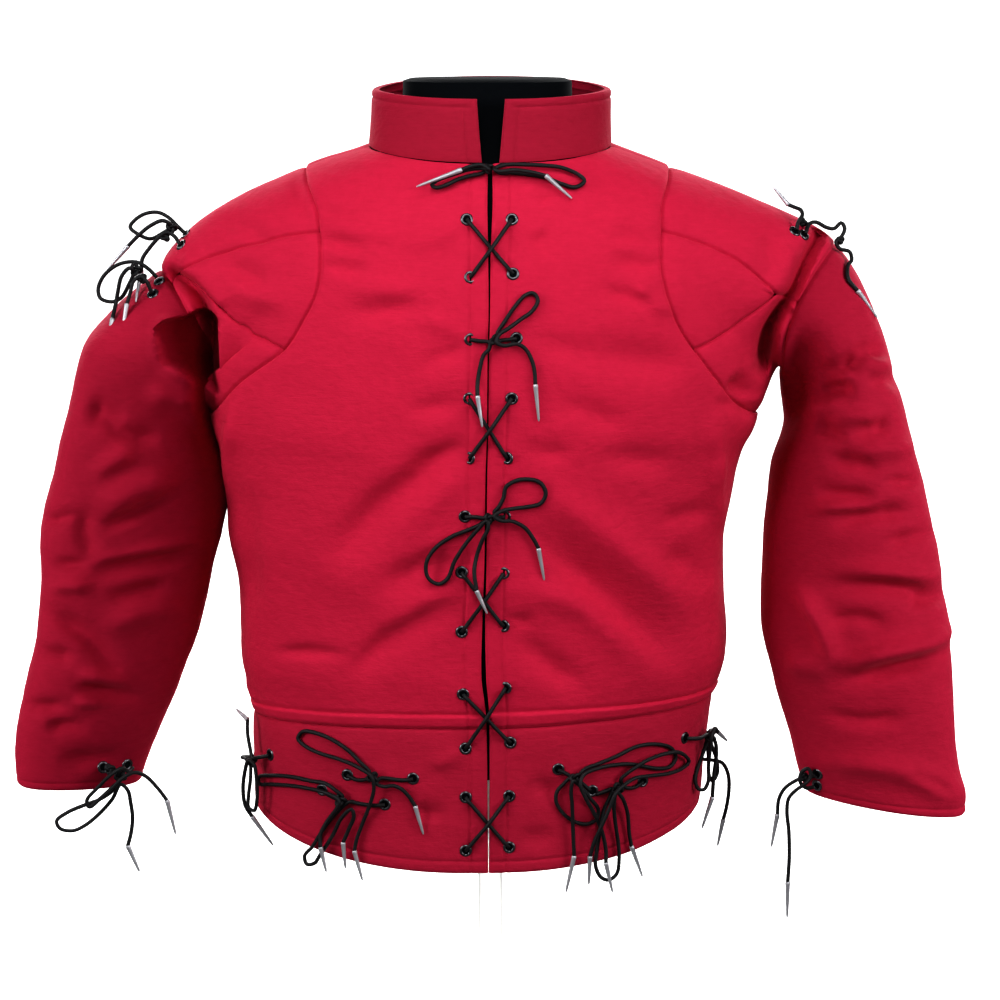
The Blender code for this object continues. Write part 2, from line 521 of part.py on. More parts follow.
def mesh_object(name, points, faces, finish, smooth_angle=50):
    """A mesh object with outward faces, shaded smooth but for its edges."""
    if signed_volume(points, faces) < 0:
        faces = [tuple(reversed(face)) for face in faces]
    mesh = bpy.data.meshes.new(name)
    mesh.from_pydata([tuple(point) for point in points], [], faces)
    mesh.materials.append(finish)
    mesh.shade_smooth()
    mesh.set_sharp_from_angle(angle=math.radians(smooth_angle))
    mesh.update()
    item = bpy.data.objects.new(name, mesh)
    bpy.context.scene.collection.objects.link(item)
    return item


def wall(name, points, normals, finish, thickness=CLOTH, closed=False):
    """A cloth piece: a grid of outer points and the same points moved in along the normals."""
    outer = trimmed(points, GAP / 2, closed)
    inner = outer - normals * thickness
    across, down = points.shape[:2]
    vertices = np.concatenate([outer.reshape(-1, 3), inner.reshape(-1, 3)])
    faces = wall_faces(across, down, closed, outer.reshape(-1, 3))
    return mesh_object(name, vertices, faces, finish)


def trunk_rows(start, end):
    """The body rows between two rows, shared by every piece that meets along them."""
    rows = sorted(set(YOKE_ROWS + TOP_ROWS + GUSSET_ROWS + UNDERARM_ROWS + FLANK_ROWS + SKIRT_ROWS))
    return np.array([row for row in rows if start <= row <= end])


def front_point(x, z, lift):
    """A point before the trunk at a given x and height, in mm, and a distance off the cloth. Past
    the hem it hangs at the hem's depth. The row is found by halving."""
    x, z, lift = (np.asarray(value, float) for value in (x, z, lift))
    above, below = np.zeros_like(x), np.full_like(x, ROW["hem"])
    for _ in range(30):
        at = (above + below) / 2
        high = body(angle_at_x(x, at), at)[..., 2] / MM > z
        above, below = np.where(high, at, above), np.where(high, below, at)
    angle = angle_at_x(x, at)
    forward = np.maximum(-body_normals(angle, at)[..., 1], 0.3)
    y = body(angle, at)[..., 1] / MM - lift / forward
    return np.stack([x, y, z], axis=-1) * MM


def make_fronts(finish):
    """The two fronts and the two front skirt pieces."""
    share = np.linspace(0, 1, FRONT_COLUMNS + 1)[:, None]
    for side in SIDES:
        for name, start, end in (("front_", 0.0, ROW["waist"]), ("waist_front_", ROW["waist"], ROW["hem"])):
            at = trunk_rows(start, end)[None, :]
            angle = front_span(side, share, at)
            at = np.broadcast_to(at, angle.shape)
            wall(name + side, body(angle, at), body_normals(angle, at), finish)


def make_backs(finish):
    """The back and the back skirt piece."""
    share = np.linspace(0, 1, BACK_COLUMNS + 1)[:, None]
    for name, start, end in (("back", 0.0, ROW["waist"]), ("waist_back", ROW["waist"], ROW["hem"])):
        at = trunk_rows(start, end)[None, :]
        angle = back_span(share, at)
        at = np.broadcast_to(at, angle.shape)
        wall(name, body(angle, at), body_normals(angle, at), finish)


def around_trunk(at):
    """The angles of the fronts' and the back's points at a row, from the opening's left edge by way
    of the back to its right edge."""
    fronts = np.linspace(0, 1, FRONT_COLUMNS + 1)
    backs = np.linspace(1, 0, BACK_COLUMNS + 1)
    return np.concatenate([front_span("left", fronts, at),
                           2 * np.pi + back_span(backs, at)[1:],
                           2 * np.pi + front_span("right", fronts[::-1], at)[1:]])


def make_collar(finish):
    """The stand collar, a strip round the neck between its front edges."""
    around = around_trunk(ROW["neck"])
    at = np.array([0.0, 0.7, 1.4, 2.0])[None, :]
    start = angle_at_x(smooth(COLLAR["edge_left"], at), at, COLLAR)
    end = 2 * np.pi + angle_at_x(smooth(COLLAR["edge_right"], at), at, COLLAR)
    share = ((around - around[0]) / (around[-1] - around[0]))[:, None]
    angle = start + share * (end - start)
    at = np.broadcast_to(at, angle.shape)
    normals = -normals_of(collar, angle, np.clip(at, 0.02, 1.98), 0.01)
    wall("collar", collar(angle, at), normals, finish, COLLAR_CLOTH)


def gusset_edges(side, out):
    """The turns of the gusset's upper and lower seam at a distance out from the armscye."""
    point, reach = GUSSET_POINT[side]
    tip = point / 2
    share = np.clip(out / reach, 0, 1)
    upper = 0.125 + share * (tip - 0.125)
    lower = 0.375 + share ** LOWER_SEAM_BEND * (tip - 0.375)
    return upper, lower


def shoulder_outs(side):
    """Distances out from the armscye at which the shoulder's grids have points."""
    reach = GUSSET_POINT[side][1]
    return np.concatenate([np.linspace(0, reach, SHOULDER_STEPS + 1), [1.0]])


def shoulder_piece(name, side, turn, out, finish, last_step=1.0):
    """A wall on the shoulder's surface, with the sleeve seam's shared normals at its outer end. Its
    last step outward may be cut short."""
    points = shoulder(side, turn, out)
    normals = shoulder_normals(side, turn, out)
    at_sleeve = np.abs(out - 1) < 1e-9
    normals = np.where(at_sleeve[..., None], seam_normals(side, turn), normals)
    for grid in (points, normals):
        grid[:, -1] = grid[:, -2] + last_step * (grid[:, -1] - grid[:, -2])
    wall(name + side, points, normals, finish)


def make_shoulders(finish):
    """The gusset, the piece over the shoulder and the piece under the arm, on each side."""
    front_top = (np.array(TOP_ROWS) - 1) / 8
    front_low = (np.array(UNDERARM_ROWS) - 1) / 8
    gore = (np.array(GUSSET_ROWS) - 1) / 8
    back_top = 1 - (np.array(TOP_ROWS + GUSSET_ROWS[1:]) - 1) / 8
    back_low = 1 - front_low
    for side in SIDES:
        out = shoulder_outs(side)[None, :]
        upper, lower = gusset_edges(side, out)
        top = np.concatenate([back_top[::-1, None] - 1 + 0 * out, front_top[1:, None] / 0.125 * upper])
        shoulder_piece("shoulder_top_", side, np.where(top < 0, top + 1, top), out + 0 * top, finish)
        share = ((front_low - 0.375) / 0.125)[:, None]
        low = np.concatenate([lower + share * (0.5 - lower), back_low[::-1][1:, None] + 0 * out])
        shoulder_piece("underarm_", side, low, out + 0 * low, finish)
        inside = out[:, :-1]
        upper, lower = gusset_edges(side, inside)
        middle = upper + ((gore - 0.125) / 0.25)[:, None] * (lower - upper)
        shoulder_piece("gusset_", side, middle, inside + 0 * middle, finish, 1 - GUSSET_TIP_CUT)


def sleeve_turns(side):
    """The turns at which the shoulder's pieces reach the sleeve seam, all the way round."""
    tip = float(gusset_edges(side, np.array([1.0]))[0][0])
    front_top = (np.array(TOP_ROWS) - 1)[:-1] * tip
    low = np.array(UNDERARM_ROWS) - 4
    front_low = tip + low * (0.5 - tip)
    back = 1 - (np.array(TOP_ROWS[1:] + GUSSET_ROWS[1:] + UNDERARM_ROWS[1:-1]) - 1) / 8
    return np.concatenate([front_top, front_low, back[::-1]])


def make_sleeves(finish):
    """The two sleeves, tubes from the sleeve seam to the cuff."""
    for side in SIDES:
        turn = sleeve_turns(side)[:, None]
        rings = len(SLEEVE_ROWS[side])
        at = np.concatenate([[0, 0.5], np.arange(1, rings)])[None, :]
        turn, at = np.broadcast_arrays(turn, at)
        normals = sleeve_normals(side, turn, at)
        normals = np.where(at[..., None] < 1e-6, seam_normals(side, turn), normals)
        wall("sleeve_" + side, sleeve(side, turn, at), normals, finish, closed=True)


def smooth_route(points, spacing):
    """A smooth curve through a route's points, read at about even spacing: each span is a cubic
    whose slopes follow the chords on either side."""
    points = np.asarray(points, float)
    chords = np.linalg.norm(np.diff(points, axis=0), axis=1)
    knots = np.concatenate([[0.0], np.cumsum(np.sqrt(chords))])
    slopes = np.gradient(points, knots, axis=0)
    fine = np.linspace(0, knots[-1], 40 * len(points))
    first = np.clip(np.searchsorted(knots, fine, side="right") - 1, 0, len(points) - 2)
    span = (knots[first + 1] - knots[first])[:, None]
    share = (fine - knots[first])[:, None] / span
    curve = hermite(points[first], slopes[first] * span, points[first + 1],
                    slopes[first + 1] * span, share)
    along = np.concatenate([[0.0], np.cumsum(np.linalg.norm(np.diff(curve, axis=0), axis=1))])
    stations = np.linspace(0, along[-1], max(int(round(along[-1] / spacing)), 2) + 1)
    return np.stack([np.interp(stations, along, curve[:, k]) for k in range(3)], axis=-1)


def lace(name, points, finish, with_aglet=True):
    """A lace as a round tube through a smooth route, which ends in a tapering aglet."""
    stations, radii = points, np.ones(len(points))
    if with_aglet:
        cord = smooth_route(points[:-1], CORD_SPACING)
        top, tip = points[-2], points[-1]
        shoulder_point = top + unit(tip - top) * AGLET_STEP
        stations = np.vstack([cord, shoulder_point, tip])
        radii = np.concatenate([np.ones(len(cord)), [AGLET_TOP, AGLET_TIP]])
    curve = bpy.data.curves.new(name, "CURVE")
    curve.dimensions = "3D"
    curve.bevel_depth = CORD / 2
    curve.bevel_resolution = 2
    curve.use_fill_caps = True
    spline = curve.splines.new("POLY")
    spline.points.add(len(stations) - 1)
    for point, place, radius in zip(spline.points, stations, radii):
        point.co = (*place, 1.0)
        point.radius = radius
    curve.materials.append(finish)
    item = bpy.data.objects.new(name, curve)
    bpy.context.scene.collection.objects.link(item)
    return item


def make_laces(finish):
    """The free laces of the bows, and the crosses that hold the opening."""
    for name, route in FRONT_LACES.items():
        lace("lace_" + name, front_point(*np.array(route).T), finish)
    for name, route in SIDE_LACES.items():
        x, z, y = np.array(route, float).T
        lace("lace_" + name, np.stack([x, y, z], axis=-1) * MM, finish)
    share = np.array([0, 0.3, 0.5, 0.7, 1])
    over = np.array([0, 0.5, 1, 0.5, 0])
    for name, (upper_left, upper_right, lower_left, lower_right) in CROSSES.items():
        for label, start, end, rise in (("_under", upper_left, lower_right, 0.0),
                                        ("_over", upper_right, lower_left, CROSS_OVER)):
            x = start[0] + share * (end[0] - start[0])
            z = start[1] + share * (end[1] - start[1])
            lace("lace_" + name + label, front_point(x, z, CROSS_LIFT + rise * over), finish, False)


def turned(name, profile, sides, finish):
    """A solid turned about the upright axis from a profile of radii and heights, in mm."""
    radius, height = np.array(profile, float).T * MM
    around = np.linspace(0, 2 * np.pi, sides, endpoint=False)[:, None]
    points = np.stack([radius * np.cos(around), radius * np.sin(around), height + 0 * around], axis=-1)
    return solid_of_rings(name, points, finish)


def solid_of_rings(name, points, finish):
    """A closed solid through rings of points, with a flat face at each end."""
    around, down = points.shape[:2]
    faces = [(a * down + j, b * down + j, b * down + j + 1, a * down + j + 1)
             for a, b in ((i, (i + 1) % around) for i in range(around)) for j in range(down - 1)]
    faces.append(tuple(i * down for i in reversed(range(around))))
    faces.append(tuple(i * down + down - 1 for i in range(around)))
    return mesh_object(name, points.reshape(-1, 3), faces, finish, 35)


def make_form(finish, metal, plate):
    """The limbless form: a neck, shoulders that carry the doublet, and a torso that stays clear of
    it lower down. It stands on a pole and a base plate."""
    angle = around_trunk(ROW["yoke"])
    rings = []
    for height, half_width, front, back in FORM_NECK:
        rings.append(rounded_ring(angle, FORM_MIDDLE, half_width, front, back, height, height, height))
    for row, inset, widest in FORM_ROWS:
        ring = body(angle, row) - body_normals(angle, row) * inset * MM
        middle = float(smooth(BODY["middle"], row)) * MM
        reach = np.abs(ring[:, 0] - middle).max()
        ring[:, 0] = middle + (ring[:, 0] - middle) * min(1.0, widest * MM / reach)
        rings.append(ring)
    for height, half_width, front, back in FORM_FOOT:
        rings.append(rounded_ring(angle, FORM_MIDDLE, half_width, front, back, height, height, height))
    solid_of_rings("form_torso", np.stack(rings, axis=1), finish)
    turned("stand_pole", POLE_PROFILE, POLE_SIDES, metal)
    turned("stand_base", BASE_PROFILE, BASE_SIDES, plate)


def main():
    """Builds every piece."""
    clear_scene()
    cloth = material("cloth", (0.55, 0.02, 0.05), 0.85)
    make_form(material("form_cover", (0.01, 0.012, 0.016), 0.7),
              material("pole_metal", (0.83, 0.83, 0.82), 0.35),
              material("base_metal", (0.83, 0.83, 0.82), 0.35))
    make_laces(material("lace", (0.008, 0.008, 0.01), 0.7))
    make_fronts(cloth)
    make_backs(cloth)
    make_collar(cloth)
    make_shoulders(cloth)
    make_sleeves(cloth)


main()
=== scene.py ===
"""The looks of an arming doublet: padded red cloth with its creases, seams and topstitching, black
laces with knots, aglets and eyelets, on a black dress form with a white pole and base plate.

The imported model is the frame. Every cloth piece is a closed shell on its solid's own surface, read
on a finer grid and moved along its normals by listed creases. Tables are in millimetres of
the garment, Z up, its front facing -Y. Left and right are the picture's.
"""
import json
import math

import bpy
import numpy as np
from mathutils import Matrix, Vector
from mathutils.bvhtree import BVHTree

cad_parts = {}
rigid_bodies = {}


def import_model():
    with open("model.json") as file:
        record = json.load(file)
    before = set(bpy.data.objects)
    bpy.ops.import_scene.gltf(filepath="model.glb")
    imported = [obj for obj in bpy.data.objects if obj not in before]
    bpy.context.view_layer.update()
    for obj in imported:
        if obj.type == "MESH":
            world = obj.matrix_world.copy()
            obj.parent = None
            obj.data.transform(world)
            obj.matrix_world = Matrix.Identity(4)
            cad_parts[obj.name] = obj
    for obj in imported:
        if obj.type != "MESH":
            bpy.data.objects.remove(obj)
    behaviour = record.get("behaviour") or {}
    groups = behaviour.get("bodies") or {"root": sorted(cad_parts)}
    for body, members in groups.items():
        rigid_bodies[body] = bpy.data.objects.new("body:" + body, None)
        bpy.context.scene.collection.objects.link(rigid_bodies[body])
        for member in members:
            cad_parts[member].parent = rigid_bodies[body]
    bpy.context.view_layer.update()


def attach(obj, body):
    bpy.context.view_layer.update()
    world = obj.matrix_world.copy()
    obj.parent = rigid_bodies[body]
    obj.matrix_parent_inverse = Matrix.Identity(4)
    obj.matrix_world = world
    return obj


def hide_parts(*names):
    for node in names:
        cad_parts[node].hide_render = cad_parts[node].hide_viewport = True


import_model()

MM = 0.001
CLOTH = 4.0 * MM
COLLAR_CLOTH = 5.0 * MM
SQUARENESS = 2.3            # exponent of the trunk's rounded section
DIP_POWER = 1.5             # how early a section's height turns from its side to its front value
SLEEVE_ROUNDNESS = 0.92     # exponent of the sleeve's section: below 1 it is fuller than an ellipse
BOW_POWER = 1.5             # how narrowly a sleeve's front bows inwards
RIDGE_ROWS = 2.0            # rows over which a sleeve's foremost line leaves its middle
SIDES = {"left": -1.0, "right": 1.0}

# The trunk from the neck to the hem, and the collar: the solids' own sections
BODY_COLUMNS = ("z_side", "z_front", "z_back", "middle", "half_width", "front", "back",
                "armscye_front", "armscye_back", "opening_x", "opening")
BODY_ROWS = {
    "neck":     (883, 872, 893, 0, 107, 86, 74, 1.0, 1.0, 0.5, 3.6),
    "yoke":     (865, 838, 862, -2, 160, 108, 108, 1.0, 1.0, 0.5, 4.4),
    "shoulder": (840, 796, 822, 0, 205, 121, 124, 0.735, 0.78, 0.0, 2.0),
    "blade":    (795, 752, 775, 0, 236, 129, 136, 0.628, 0.72, 0.0, 1.2),
    "chest":    (722, 703, 710, 0, 247, 135, 139, 0.735, 0.79, -1.0, 1.2),
    "armpit":   (646, 646, 646, -5, 245, 137, 138, 1.0, 1.0, -1.5, 1.2),
    "under":    (613, 613, 613, -8, 234, 136, 136, 1.0, 1.0, -2.5, 1.4),
    "ribs":     (578, 578, 578, -10, 227, 134, 133, 1.0, 1.0, -3.0, 1.6),
    "flank":    (530, 530, 530, -12, 222, 132, 130, 1.0, 1.0, -3.5, 1.8),
    "girth":    (480, 480, 480, -7, 219, 129, 127, 1.0, 1.0, -5.0, 2.4),
    "tuck":     (428, 430, 430, -6, 219, 127, 125, 1.0, 1.0, -5.0, 4.0),
    "waist":    (376, 384, 384, -8, 208, 123, 121, 1.0, 1.0, -1.5, 2.6),
    "hem":      (293, 254, 288, -12, 203, 124, 119, 1.0, 1.0, -1.0, 0.5),
}
BODY = {name: np.array([row[i] for row in BODY_ROWS.values()], float)
        for i, name in enumerate(BODY_COLUMNS)}
ROW = {name: float(i) for i, name in enumerate(BODY_ROWS)}
COLLAR_COLUMNS = ("z_side", "z_front", "z_back", "middle", "half_width", "front", "back",
                  "edge_left", "edge_right")
COLLAR_ROWS = {
    "base":   (883.3, 872.3, 893.3, 0, 107.0, 86.0, 74.0, -6.5, 8.5),
    "middle": (907, 899, 916, 1, 105.5, 83.5, 71.5, -9.0, 11.0),
    "top":    (932, 926, 941, 2, 105.0, 82.0, 71.0, -11.0, 13.5),
}
COLLAR = {name: np.array([row[i] for row in COLLAR_ROWS.values()], float)
          for i, name in enumerate(COLLAR_COLUMNS)}
# The sleeves from the shoulder to the cuff: the outer and the inner point of each section, how far it
# reaches before and behind its middle, and how far its front bows towards the trunk
SLEEVE_COLUMNS = ("outer_x", "outer_z", "inner_x", "inner_z", "depth", "middle_y", "bow")
SLEEVE_ROWS = {
    "left": (
        (-294, 774, -259, 641, 60, 2, 25),
        (-335, 738, -250, 628, 69, 1, 14),
        (-359, 708, -245.5, 614, 75, 0, 6),
        (-370, 664, -242, 598, 77, -2, 2),
        (-385, 606, -239, 575, 77, -4, 0),
        (-398, 554, -240, 545, 76, -7, 0),
        (-400, 502, -248, 510, 74, -10, 0),
        (-406, 448, -263, 450, 70, -14, 0),
        (-419, 392, -281, 400, 65, -18, 0),
        (-427, 352, -302, 353, 59, -21, 0),
        (-425, 318, -317, 312, 54, -24, 0),
    ),
    "right": (
        (308, 798, 259, 682, 58, 2, 18),
        (331, 760, 259, 675, 66, 1, 9),
        (345, 727, 260, 665, 71, 0, 3),
        (355, 696, 262, 652, 74, -1, 0),
        (369, 648, 263, 632, 75, -3, 0),
        (383, 597, 253, 599, 75, -5, 0),
        (393, 556, 247, 555, 74, -8, 0),
        (403, 510, 245, 507, 72, -11, 0),
        (412, 455, 245, 455, 69, -15, 0),
        (416, 404, 256, 404, 64, -18, 0),
        (420, 350, 271, 354, 58, -22, 0),
        (430, 287, 285, 304, 52, -26, 0),
    ),
}
SLEEVES = {side: {name: np.array([row[i] for row in rows], float)
                  for i, name in enumerate(SLEEVE_COLUMNS)}
           for side, rows in SLEEVE_ROWS.items()}
# The way in which the top of each shoulder reaches its sleeve, and the handles of its cubic, as a
# share of the distance and some mm more
SHOULDER_COLUMNS = ("out", "down", "handle_share", "handle_more")
SHOULDER_ROWS = {"left": (0.45, 0.89, 0.8, 30.0), "right": (0.75, 0.66, 0.5, 22.0)}
SHOULDERS = {side: dict(zip(SHOULDER_COLUMNS, row)) for side, row in SHOULDER_ROWS.items()}
# The same at the armpit, in front and behind, as (outward, backward, up)
SHOULDER_ENDS = {"armpit": (0.0, 0.0, -1.0), "front": (0.8, 0.4, -0.4), "back": (0.85, -0.1, -0.5)}
# Where the armscye seam runs on the front, as a share of the half width at every half row from the
# yoke to the armpit
ARMSCYE_FRONT = {
    "left": np.array((1.0, 0.813, 0.713, 0.651, 0.628, 0.661, 0.730, 0.885, 1.0)),
    "right": np.array((1.0, 0.817, 0.723, 0.662, 0.641, 0.659, 0.724, 0.834, 1.0)),
}
RIDGE_OUT = {"left": 0.34, "right": 0.20}    # how far the sleeve's foremost line lies to its outer side
# How far out the gusset reaches, and its two seams' turns on the way
GUSSET_REACH = {"left": 0.95, "right": 0.80}
GUSSET_UPPER = {"left": np.array((0.117, 0.111, 0.109, 0.104, 0.095, 0.080)),
                "right": np.array((0.118, 0.124, 0.137, 0.162, 0.196, 0.225))}
GUSSET_LOWER = {"left": np.array((0.370, 0.372, 0.350, 0.294, 0.205, 0.080)),
                "right": np.array((0.369, 0.371, 0.363, 0.342, 0.296, 0.225))}
BACK_SEAM_TURN = 0.625      # the turn at which the pieces over and under the shoulder meet behind
WAIST_LIFT = {"left": 0.0, "right": 0.30}   # how much higher the waist seam runs at the side, in rows
WAIST_REACH = 2.5           # how many rows above the waist seam bend with it

# The form: a row of the trunk's surface, how far it is moved in and the widest it may be, its neck
# and foot rings with height, half width, front and back depth, and the turned profiles below it
FORM_ROWS = ((0.5, 4.5, 999), (1.0, 7.0, 999), (1.5, 11, 166), (2.0, 16, 176), (3.5, 21, 182),
             (5.0, 23, 188), (7.5, 23, 188), (9.5, 22, 180), (11.0, 22, 174))
FORM_NECK = ((941, 68, 58, 52), (939, 74, 63, 56), (888, 76, 65, 58), (877, 84, 70, 61))
FORM_FOOT = ((338, 172, 97, 95), (330, 166, 92, 90))
FORM_MIDDLE = -2.0
POLE_PROFILE = ((28, 8.3), (28, 11), (27, 12), (22, 15), (12.5, 17.5), (11, 21), (11, 312), (13, 317),
                (28, 322), (30, 324), (30, 329.7))
BASE_PROFILE = ((163, 0), (164.4, 0.6), (165, 2), (165, 6), (164.4, 7.4), (163, 8))

CORD = 3.4 * MM
BRAID_PITCH = 6.0 * MM
BRAID_RELIEF = 0.07
LACE_STEP = 1.6 * MM
LACE_SIDES = 12
LACE_CLEARANCE = CORD * 0.55
SUNK_AT_MOST = 12.0 * MM     # a lace that lies deeper than this in the cloth belongs behind it
SEAT_REACH = 5               # steps along a lace on either side that move with it
# An aglet's half width, as a share of the lace's, along its length; it begins on the lace
AGLET_ALONG = np.array([-0.02, 0.0, 0.05, 0.08, 0.5, 0.93, 1.0])
AGLET_WIDTH = np.array([1.0, 1.28, 1.36, 1.24, 0.98, 0.62, 0.34])
VIEWER_Y = -1.0             # metres before the doublet, where sight lines towards it begin
# Crosses: how far off the cloth they run, how much further the upper lace goes over the other and how
# deep their ends dive into the eyelets, then their upper and lower corners (x, z), left before right
CROSS_LIFT = 2.4
CROSS_OVER = 4.3
CROSS_DIVE = 2.6
CROSSES = {
    "cross_1": ((-19, 826), (19, 826), (-16, 778), (20, 781)),
    "cross_2": ((-17, 676), (19, 676), (-17, 625), (15, 625)),
    "cross_3": ((-24, 525), (12, 524), (-24, 472), (12, 477)),
    "cross_4": ((-23, 416), (14, 422), (-21, 367), (18, 372)),
    "cross_5": ((-21, 323), (17, 324), (-21, 275), (17, 278)),
}
# Laces, from the eyelet to the aglet's top and tip: on the front (x, z, how far off the cloth)
FRONT_LACES = {
    "collar_left": (
        (-10, 871, 2.2), (-3, 867, 2.6), (-6, 864, 3), (-15, 862, 3), (-26, 859, 3), (-37, 854, 3),
        (-45, 852, 3), (-49, 854, 3), (-44, 858, 4), (-30, 863, 5.2), (-17, 867, 6),
        (-5, 868, 7.4), (0, 867, 10), (-6, 871, 11.5), (-16, 870, 11), (-24, 867, 10.5),
        (-62, 853, 8.5)),
    "collar_right": (
        (11, 871, 2.2), (5, 867, 2.6), (9, 864, 3), (18, 864, 3), (31, 863, 3), (48, 860, 3),
        (61, 855, 3), (73, 852, 3), (81, 857, 3), (76, 862, 3.4), (62, 868, 5), (48, 870, 5.6),
        (29, 871, 6.4), (14, 871, 7.4), (4, 868, 9.6), (8, 866, 11.5), (21, 867, 10.8),
        (36, 865, 9.6), (48, 862, 8.4), (70, 843, 4)),
    "front_bow_2_left": (
        (-16, 726, 2.2), (-8, 725, 2.4), (0, 724, 3.6), (0, 719, 4), (-5, 713, 3), (-8, 702, 2.4),
        (-10, 689, 3), (-10, 679, 6), (-6, 653, 8)),
    "front_bow_2_right": (
        (23, 727, 2.2), (14, 726, 2.4), (6, 726, 3), (7, 732, 3.4), (14, 743, 2.6), (21, 753, 2.4),
        (30, 763, 2.4), (37, 765, 2.4), (41, 759, 2.4), (36, 750, 3), (26, 743, 5), (16, 736, 7),
        (8, 731, 9), (6, 725, 10.2), (12, 722, 9), (23, 723, 6.4), (30, 719, 4), (35, 711, 3),
        (38, 701, 2.4), (39, 688, 2.4), (42, 657, 2.2)),
    "front_bow_3_left": (
        (-21, 574, 2.2), (-11, 574, 2.4), (-3, 572, 3.2), (-9, 567, 3), (-20, 562, 2.4),
        (-32, 557, 2.4), (-46, 547, 2.4), (-54, 534, 2.4), (-53, 521, 2.4), (-44, 515, 2.4),
        (-36, 520, 2.4), (-30, 535, 3), (-21, 550, 4.4), (-10, 564, 7), (-2, 572, 9.4),
        (-1, 566, 10), (-6, 555, 7.4), (-11, 540, 5), (-13, 527, 8.4), (-11, 511, 11.6), (-2, 491, 12)),
    "front_bow_3_right": (
        (13, 574, 2.2), (7, 574, 2.4), (4, 578, 3.2), (8, 583, 3), (12, 591, 2.4), (14, 600, 2.4),
        (21, 605, 2.4), (31, 607, 2.4), (43, 604, 2.4), (48, 595, 2.4), (44, 586, 2.4),
        (33, 583, 3.4), (21, 582, 5.6), (10, 580, 8.2), (4, 576, 10), (10, 572, 9), (19, 571, 6.6),
        (30, 565, 4), (38, 554, 3), (42, 546, 2.4), (47, 518, 2.2)),
    "skirt_1_left": (
        (-125, 339, 2.2), (-116, 336, 2.4), (-107, 338, 3), (-105, 344, 3.6), (-113, 352, 3.2),
        (-124, 362, 2.4), (-140, 371, 2.4), (-156, 375, 2.4), (-165, 374, 2.4), (-169, 367, 2.4),
        (-164, 362, 2.4), (-151, 357, 2.4), (-135, 354, 3), (-122, 351, 5), (-111, 347, 8),
        (-103, 342, 10), (-101, 332, 9), (-104, 318, 7.2), (-111, 299, 4.4), (-117, 282, 4),
        (-119, 272, 4), (-112, 246, 4)),
    "skirt_1_right": (
        (-67, 339, 2.2), (-77, 338, 2.4), (-88, 339, 2.8), (-96, 339, 4), (-99, 335, 6.4),
        (-92, 333, 7.6), (-84, 334, 7), (-76, 330, 5), (-70, 323, 3), (-65, 315, 2.4),
        (-58, 290, 2.2)),
    "skirt_2_left": (
        (-148, 323, 2.2), (-140, 319, 2.4), (-131, 317, 3.2), (-129, 321, 5.6), (-135, 326, 6.8),
        (-144, 331, 6.2), (-158, 331, 4), (-177, 331, 2.4), (-196, 327, 2.4), (-208, 320, 2.4),
        (-208, 315, 2.4), (-196, 319, 2.4), (-175, 323, 2.4), (-158, 324, 5), (-144, 323, 7),
        (-132, 318, 9.4), (-134, 311, 9.6), (-142, 299, 8), (-149, 285, 9), (-149, 274, 10.4),
        (-144, 252, 9.6)),
    "skirt_2_right": (
        (-92, 315, 2.2), (-103, 314, 2.4), (-115, 315, 2.8), (-123, 316, 3.8), (-130, 310, 4),
        (-141, 297, 3.2), (-150, 283, 3), (-157, 271, 3.4), (-164, 262, 5), (-162, 255, 5.4),
        (-155, 257, 5.4), (-150, 265, 6), (-138, 285, 5.4), (-130, 302, 7.4), (-121, 311, 9),
        (-119, 305, 8), (-124, 291, 5), (-129, 279, 5), (-127, 256, 5)),
    "skirt_4_left": (
        (60, 347, 2.2), (66, 344, 2.6), (70, 341, 3.4), (65, 335, 3), (59, 328, 2.4),
        (58, 319, 2.4), (65, 307, 2.4), (76, 299, 2.4), (86, 297, 2.4), (94, 301, 2.8),
        (95, 310, 4), (88, 321, 6.6), (80, 332, 8.4), (73, 339, 9.8), (71, 331, 9.4),
        (72, 316, 7.6), (73, 290, 5), (74, 269, 4.4), (67, 237, 4.4)),
    "skirt_4_right": (
        (88, 327, 2.2), (83, 332, 2.6), (78, 338, 3.4), (82, 346, 3.2), (96, 351, 2.6),
        (111, 356, 2.4), (129, 363, 2.4), (146, 363, 2.4), (160, 357, 2.4), (165, 347, 2.4),
        (160, 340, 2.4), (149, 340, 2.4), (136, 344, 2.4), (123, 348, 2.8), (107, 349, 4.8),
        (95, 348, 7), (82, 344, 10.4), (79, 337, 13.2), (83, 325, 13.2), (91, 309, 10),
        (98, 292, 8), (102, 273, 7.6), (102, 262, 8.6), (108, 235, 9.4)),
    "skirt_5_left": (
        (93, 323, 2.2), (100, 325, 2.6), (108, 327, 3.4), (105, 319, 3.2), (100, 308, 2.8),
        (97, 291, 2.8), (94, 272, 3.2), (93, 259, 4.6), (98, 248, 5), (105, 245, 5), (112, 250, 5),
        (114, 264, 4.6), (113, 278, 4), (110, 299, 5.4), (109, 315, 8), (111, 326, 10),
        (116, 320, 9), (121, 305, 5.6), (123, 284, 4), (125, 273, 4.4), (135, 244, 4.4)),
    "skirt_5_right": (
        (135, 330, 2.2), (127, 326, 2.4), (118, 328, 3.2), (115, 335, 4.2), (121, 341, 6),
        (129, 346, 7), (139, 351, 7.4), (152, 354, 7.6), (165, 354, 8), (174, 347, 6),
        (177, 340, 4), (170, 336, 5), (158, 335, 6.2), (141, 336, 6.6), (128, 336, 7.6),
        (118, 332, 10.4), (110, 326, 14), (105, 314, 14.4), (98, 298, 13.6), (91, 281, 10),
        (88, 269, 8), (87, 243, 6)),
}
